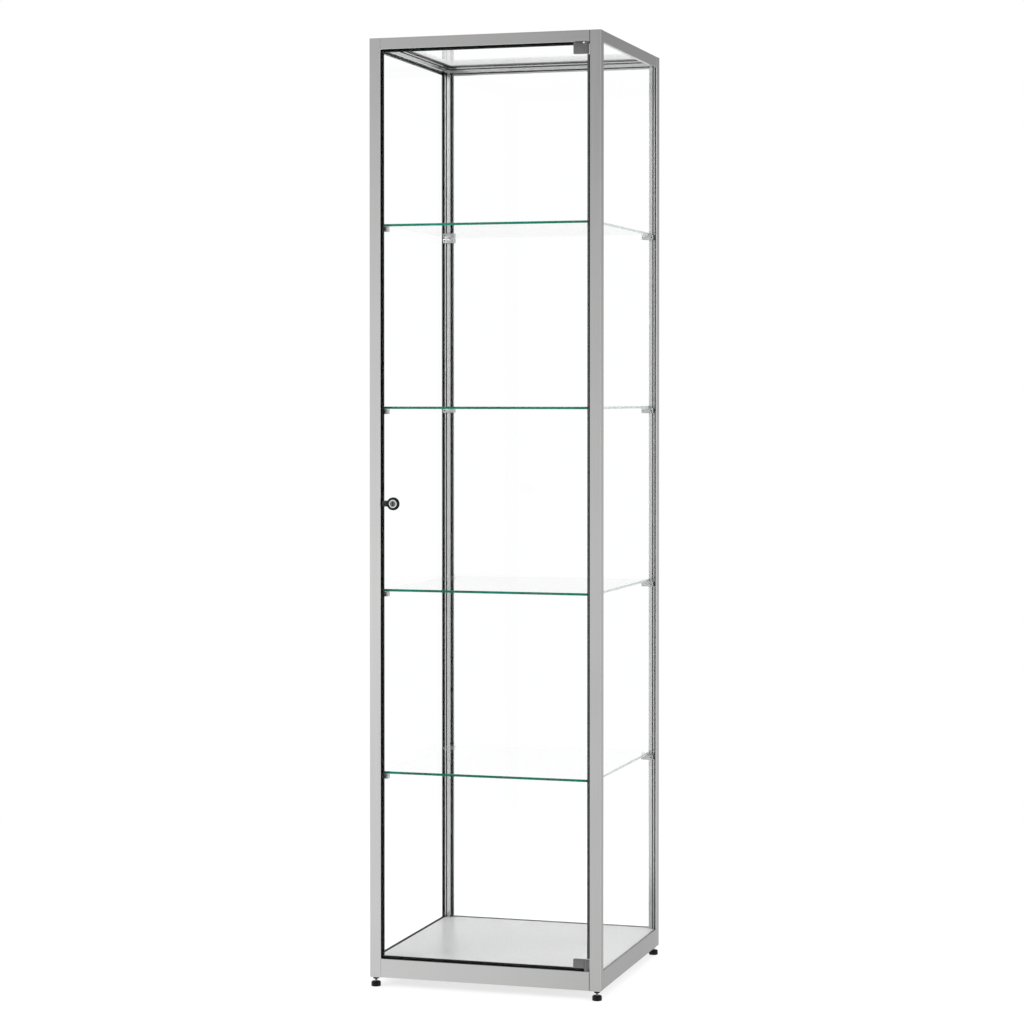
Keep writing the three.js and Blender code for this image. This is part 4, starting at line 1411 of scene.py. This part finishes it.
@dataclass
class Studio:
    """A pale floor, a white backdrop, soft lamps and the camera.

    The pairs of spans say how the light that metal and glass mirror changes with its direction:
    the span of x, y or z that is read, and the share of light at its two ends.
    """

    camera_place: Point = (1.68539, -5.61068, 1.24115)
    camera_yaw: float = 16.842
    camera_pitch: float = -0.791
    lens: float = 95.74
    sensor_width: float = 36.0
    shift: Span = (-0.0003, -0.0781)
    clip: Span = (0.05, 200.0)
    world_light: float = 0.62
    above_horizon: tuple[Span, Span] = ((-0.08, 0.24), (1.0, 0.43))
    below_horizon: tuple[Span, Span] = ((-0.28, -0.12), (0.77, 1.0))
    left_of_front: tuple[Span, Span] = ((-0.37, -0.22), (1.32, 0.635))
    far_left: tuple[Span, Span] = ((-0.75, -0.45), (0.68, 1.0))
    flanks: tuple[Span, Span] = ((0.6, 0.9), (0.0, 0.6))
    flank_start: tuple[Span, Span] = ((0.12, 0.22), WHOLE)
    flank_end: tuple[Span, Span] = ((0.36, 0.46), (1.0, 0.0))
    underneath: tuple[Span, Span] = ((-0.95, -0.6), (0.7, 0.0))
    floor_reach: float = 40.0
    floor_whitens: Span = (0.9, 2.6)
    floor_matt: Colour = (0.86, 0.86, 0.86)
    floor_pale: Colour = (0.40, 0.40, 0.40)
    floor_lift: float = 0.72
    lamp_target: Point = (0.0, 0.0, 1.0)
    lamps: tuple[SoftLamp, ...] = (
        SoftLamp("key_softbox", (-3.6, -4.2, 3.4), 2.6, 95.0),
        SoftLamp("fill_softbox", (4.2, -3.2, 2.6), 2.4, 45.0),
        SoftLamp("top_softbox", (0.3, 0.6, 4.8), 2.8, 70.0),
    )

    def mirrored_light(self, sheet: NodeSheet) -> Socket:
        """Works out how bright the studio looks in metal and glass, by direction.

        Args:
            sheet: the world's nodes.

        Returns:
            The brightness.
        """
        direction = sheet.add("TexCoord").outputs["Generated"]
        x, y, z = sheet.add("SeparateXYZ", {"Vector": direction}).outputs
        fall = sheet.spread(z, *self.above_horizon)
        rise = sheet.spread(z, *self.below_horizon)
        near_side = sheet.spread(x, *self.left_of_front)
        side = sheet.maths("MULTIPLY", near_side, sheet.spread(x, *self.far_left))
        front = sheet.maths("MULTIPLY", sheet.maths("MULTIPLY", fall, rise), side)
        depth = sheet.maths("ABSOLUTE", y)
        start = sheet.spread(depth, *self.flank_start)
        strip = sheet.maths("MULTIPLY", start, sheet.spread(depth, *self.flank_end))
        outwards = sheet.spread(sheet.maths("ABSOLUTE", x), *self.flanks)
        flank = sheet.maths("MULTIPLY", outwards, strip)
        below = sheet.spread(z, *self.underneath)
        return sheet.maths("ADD", front, sheet.maths("MAXIMUM", flank, below))

    def set_world(self) -> None:
        """Makes the backdrop: white where it is seen, and a light that falls off upwards."""
        world = bpy.data.worlds.new("studio_backdrop")
        bpy.context.scene.world = world
        sheet = NodeSheet(world)
        shine = self.mirrored_light(sheet)
        path = sheet.add("LightPath").outputs
        first = sheet.maths("LESS_THAN", path["Glossy Depth"], 0.5)
        through = sheet.maths("MULTIPLY", path["Is Transmission Ray"], first)
        mirrored = sheet.maths("MULTIPLY", path["Is Glossy Ray"], path["Is Singular Ray"])
        clear = sheet.maths("MAXIMUM", through, mirrored)
        seen = sheet.maths("MAXIMUM", path["Is Camera Ray"], clear)
        shiny = sheet.maths("MAXIMUM", path["Is Glossy Ray"], path["Is Transmission Ray"])
        channels = {"Red": shine, "Green": shine, "Blue": shine}
        glossy = sheet.add("CombineColor", channels).outputs[0]
        lit = sheet.blend(shiny, (self.world_light,) * 3, glossy)
        colour = sheet.blend(seen, lit, WHITE)
        sheet.surface(sheet.add("Background", {"Color": colour, "Strength": 1.0}))
        LOG.info("set the backdrop")

    def lay_floor(self) -> None:
        """Lays a pale floor that whitens away from the case and keeps its shadow."""
        reach = self.floor_reach

        def build(shape: BMesh) -> None:
            """One square sheet."""
            corners = [(-reach, -reach), (reach, -reach), (reach, reach), (-reach, reach)]
            shape.faces.new([shape.verts.new((x, y, 0.0)) for x, y in corners])

        floor = new_object("studio_floor", mesh_from("studio_floor", build))
        sheet = NodeSheet(bpy.data.materials.new("pale_floor"))
        distance = sheet.vector_maths("LENGTH", sheet.place())["Value"]
        away = sheet.spread(distance, self.floor_whitens)
        matt = sheet.add("BsdfDiffuse", {"Color": self.floor_matt})
        pale = sheet.add("BsdfDiffuse", {"Color": self.floor_pale})
        lift = sheet.add("Emission", {"Color": WHITE, "Strength": self.floor_lift})
        near = sheet.add("AddShader", {0: pale.outputs[0], 1: lift.outputs[0]})
        white = sheet.add("Emission", {"Color": WHITE, "Strength": 1.0})
        shown = sheet.mix_shaders(away, near, white)
        path = sheet.add("LightPath").outputs
        seen = sheet.maths("MAXIMUM", path["Is Camera Ray"], path["Is Transmission Ray"])
        sheet.surface(sheet.mix_shaders(seen, matt, shown))
        dress(floor, sheet.owner)
        floor.visible_glossy = False
        LOG.info("laid the floor")

    def hang_lamps(self) -> None:
        """Hangs the soft lamps, each facing the middle of the case."""
        for soft in self.lamps:
            lamp = bpy.data.lights.new(soft.name, "AREA")
            lamp.shape = "SQUARE"
            lamp.size = soft.width
            lamp.energy = soft.power
            holder = bpy.data.objects.new(soft.name, lamp)
            holder.location = soft.spot
            aim = Vector(self.lamp_target) - Vector(soft.spot)
            holder.rotation_euler = aim.to_track_quat("-Z", "Y").to_euler()
            holder.visible_camera = False
            holder.visible_glossy = False
            bpy.context.scene.collection.objects.link(holder)
            LOG.info("hung %s", soft.name)

    def set_camera(self) -> None:
        """Stands the camera where the picture was taken from."""
        data = bpy.data.cameras.new("camera")
        data.lens = self.lens
        data.sensor_width = self.sensor_width
        data.shift_x, data.shift_y = self.shift
        data.clip_start, data.clip_end = self.clip
        camera = bpy.data.objects.new("camera", data)
        camera.location = self.camera_place
        pitch = math.radians(90.0 + self.camera_pitch)
        camera.rotation_euler = (pitch, 0.0, math.radians(self.camera_yaw))
        bpy.context.scene.collection.objects.link(camera)
        bpy.context.scene.camera = camera
        bpy.context.scene.view_settings.view_transform = "Standard"
        LOG.info("stood the camera")

    def build(self) -> None:
        """Sets up the whole studio."""
        self.set_world()
        self.lay_floor()
        self.hang_lamps()
        self.set_camera()


def main() -> None:
    """Loads the frame and builds the studio and every sub-assembly in order."""
    logging.basicConfig(level=logging.INFO, format="%(name)s: %(message)s")
    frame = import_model()
    Studio().build()
    finishes = FinishRack(CamLock.centre)
    for part in (AluminiumFrame, Glazing, GlassDoor, GlassShelves, LevellingFeet):
        part(frame["nodes"], finishes).build()


if __name__ == "__main__":
    main()
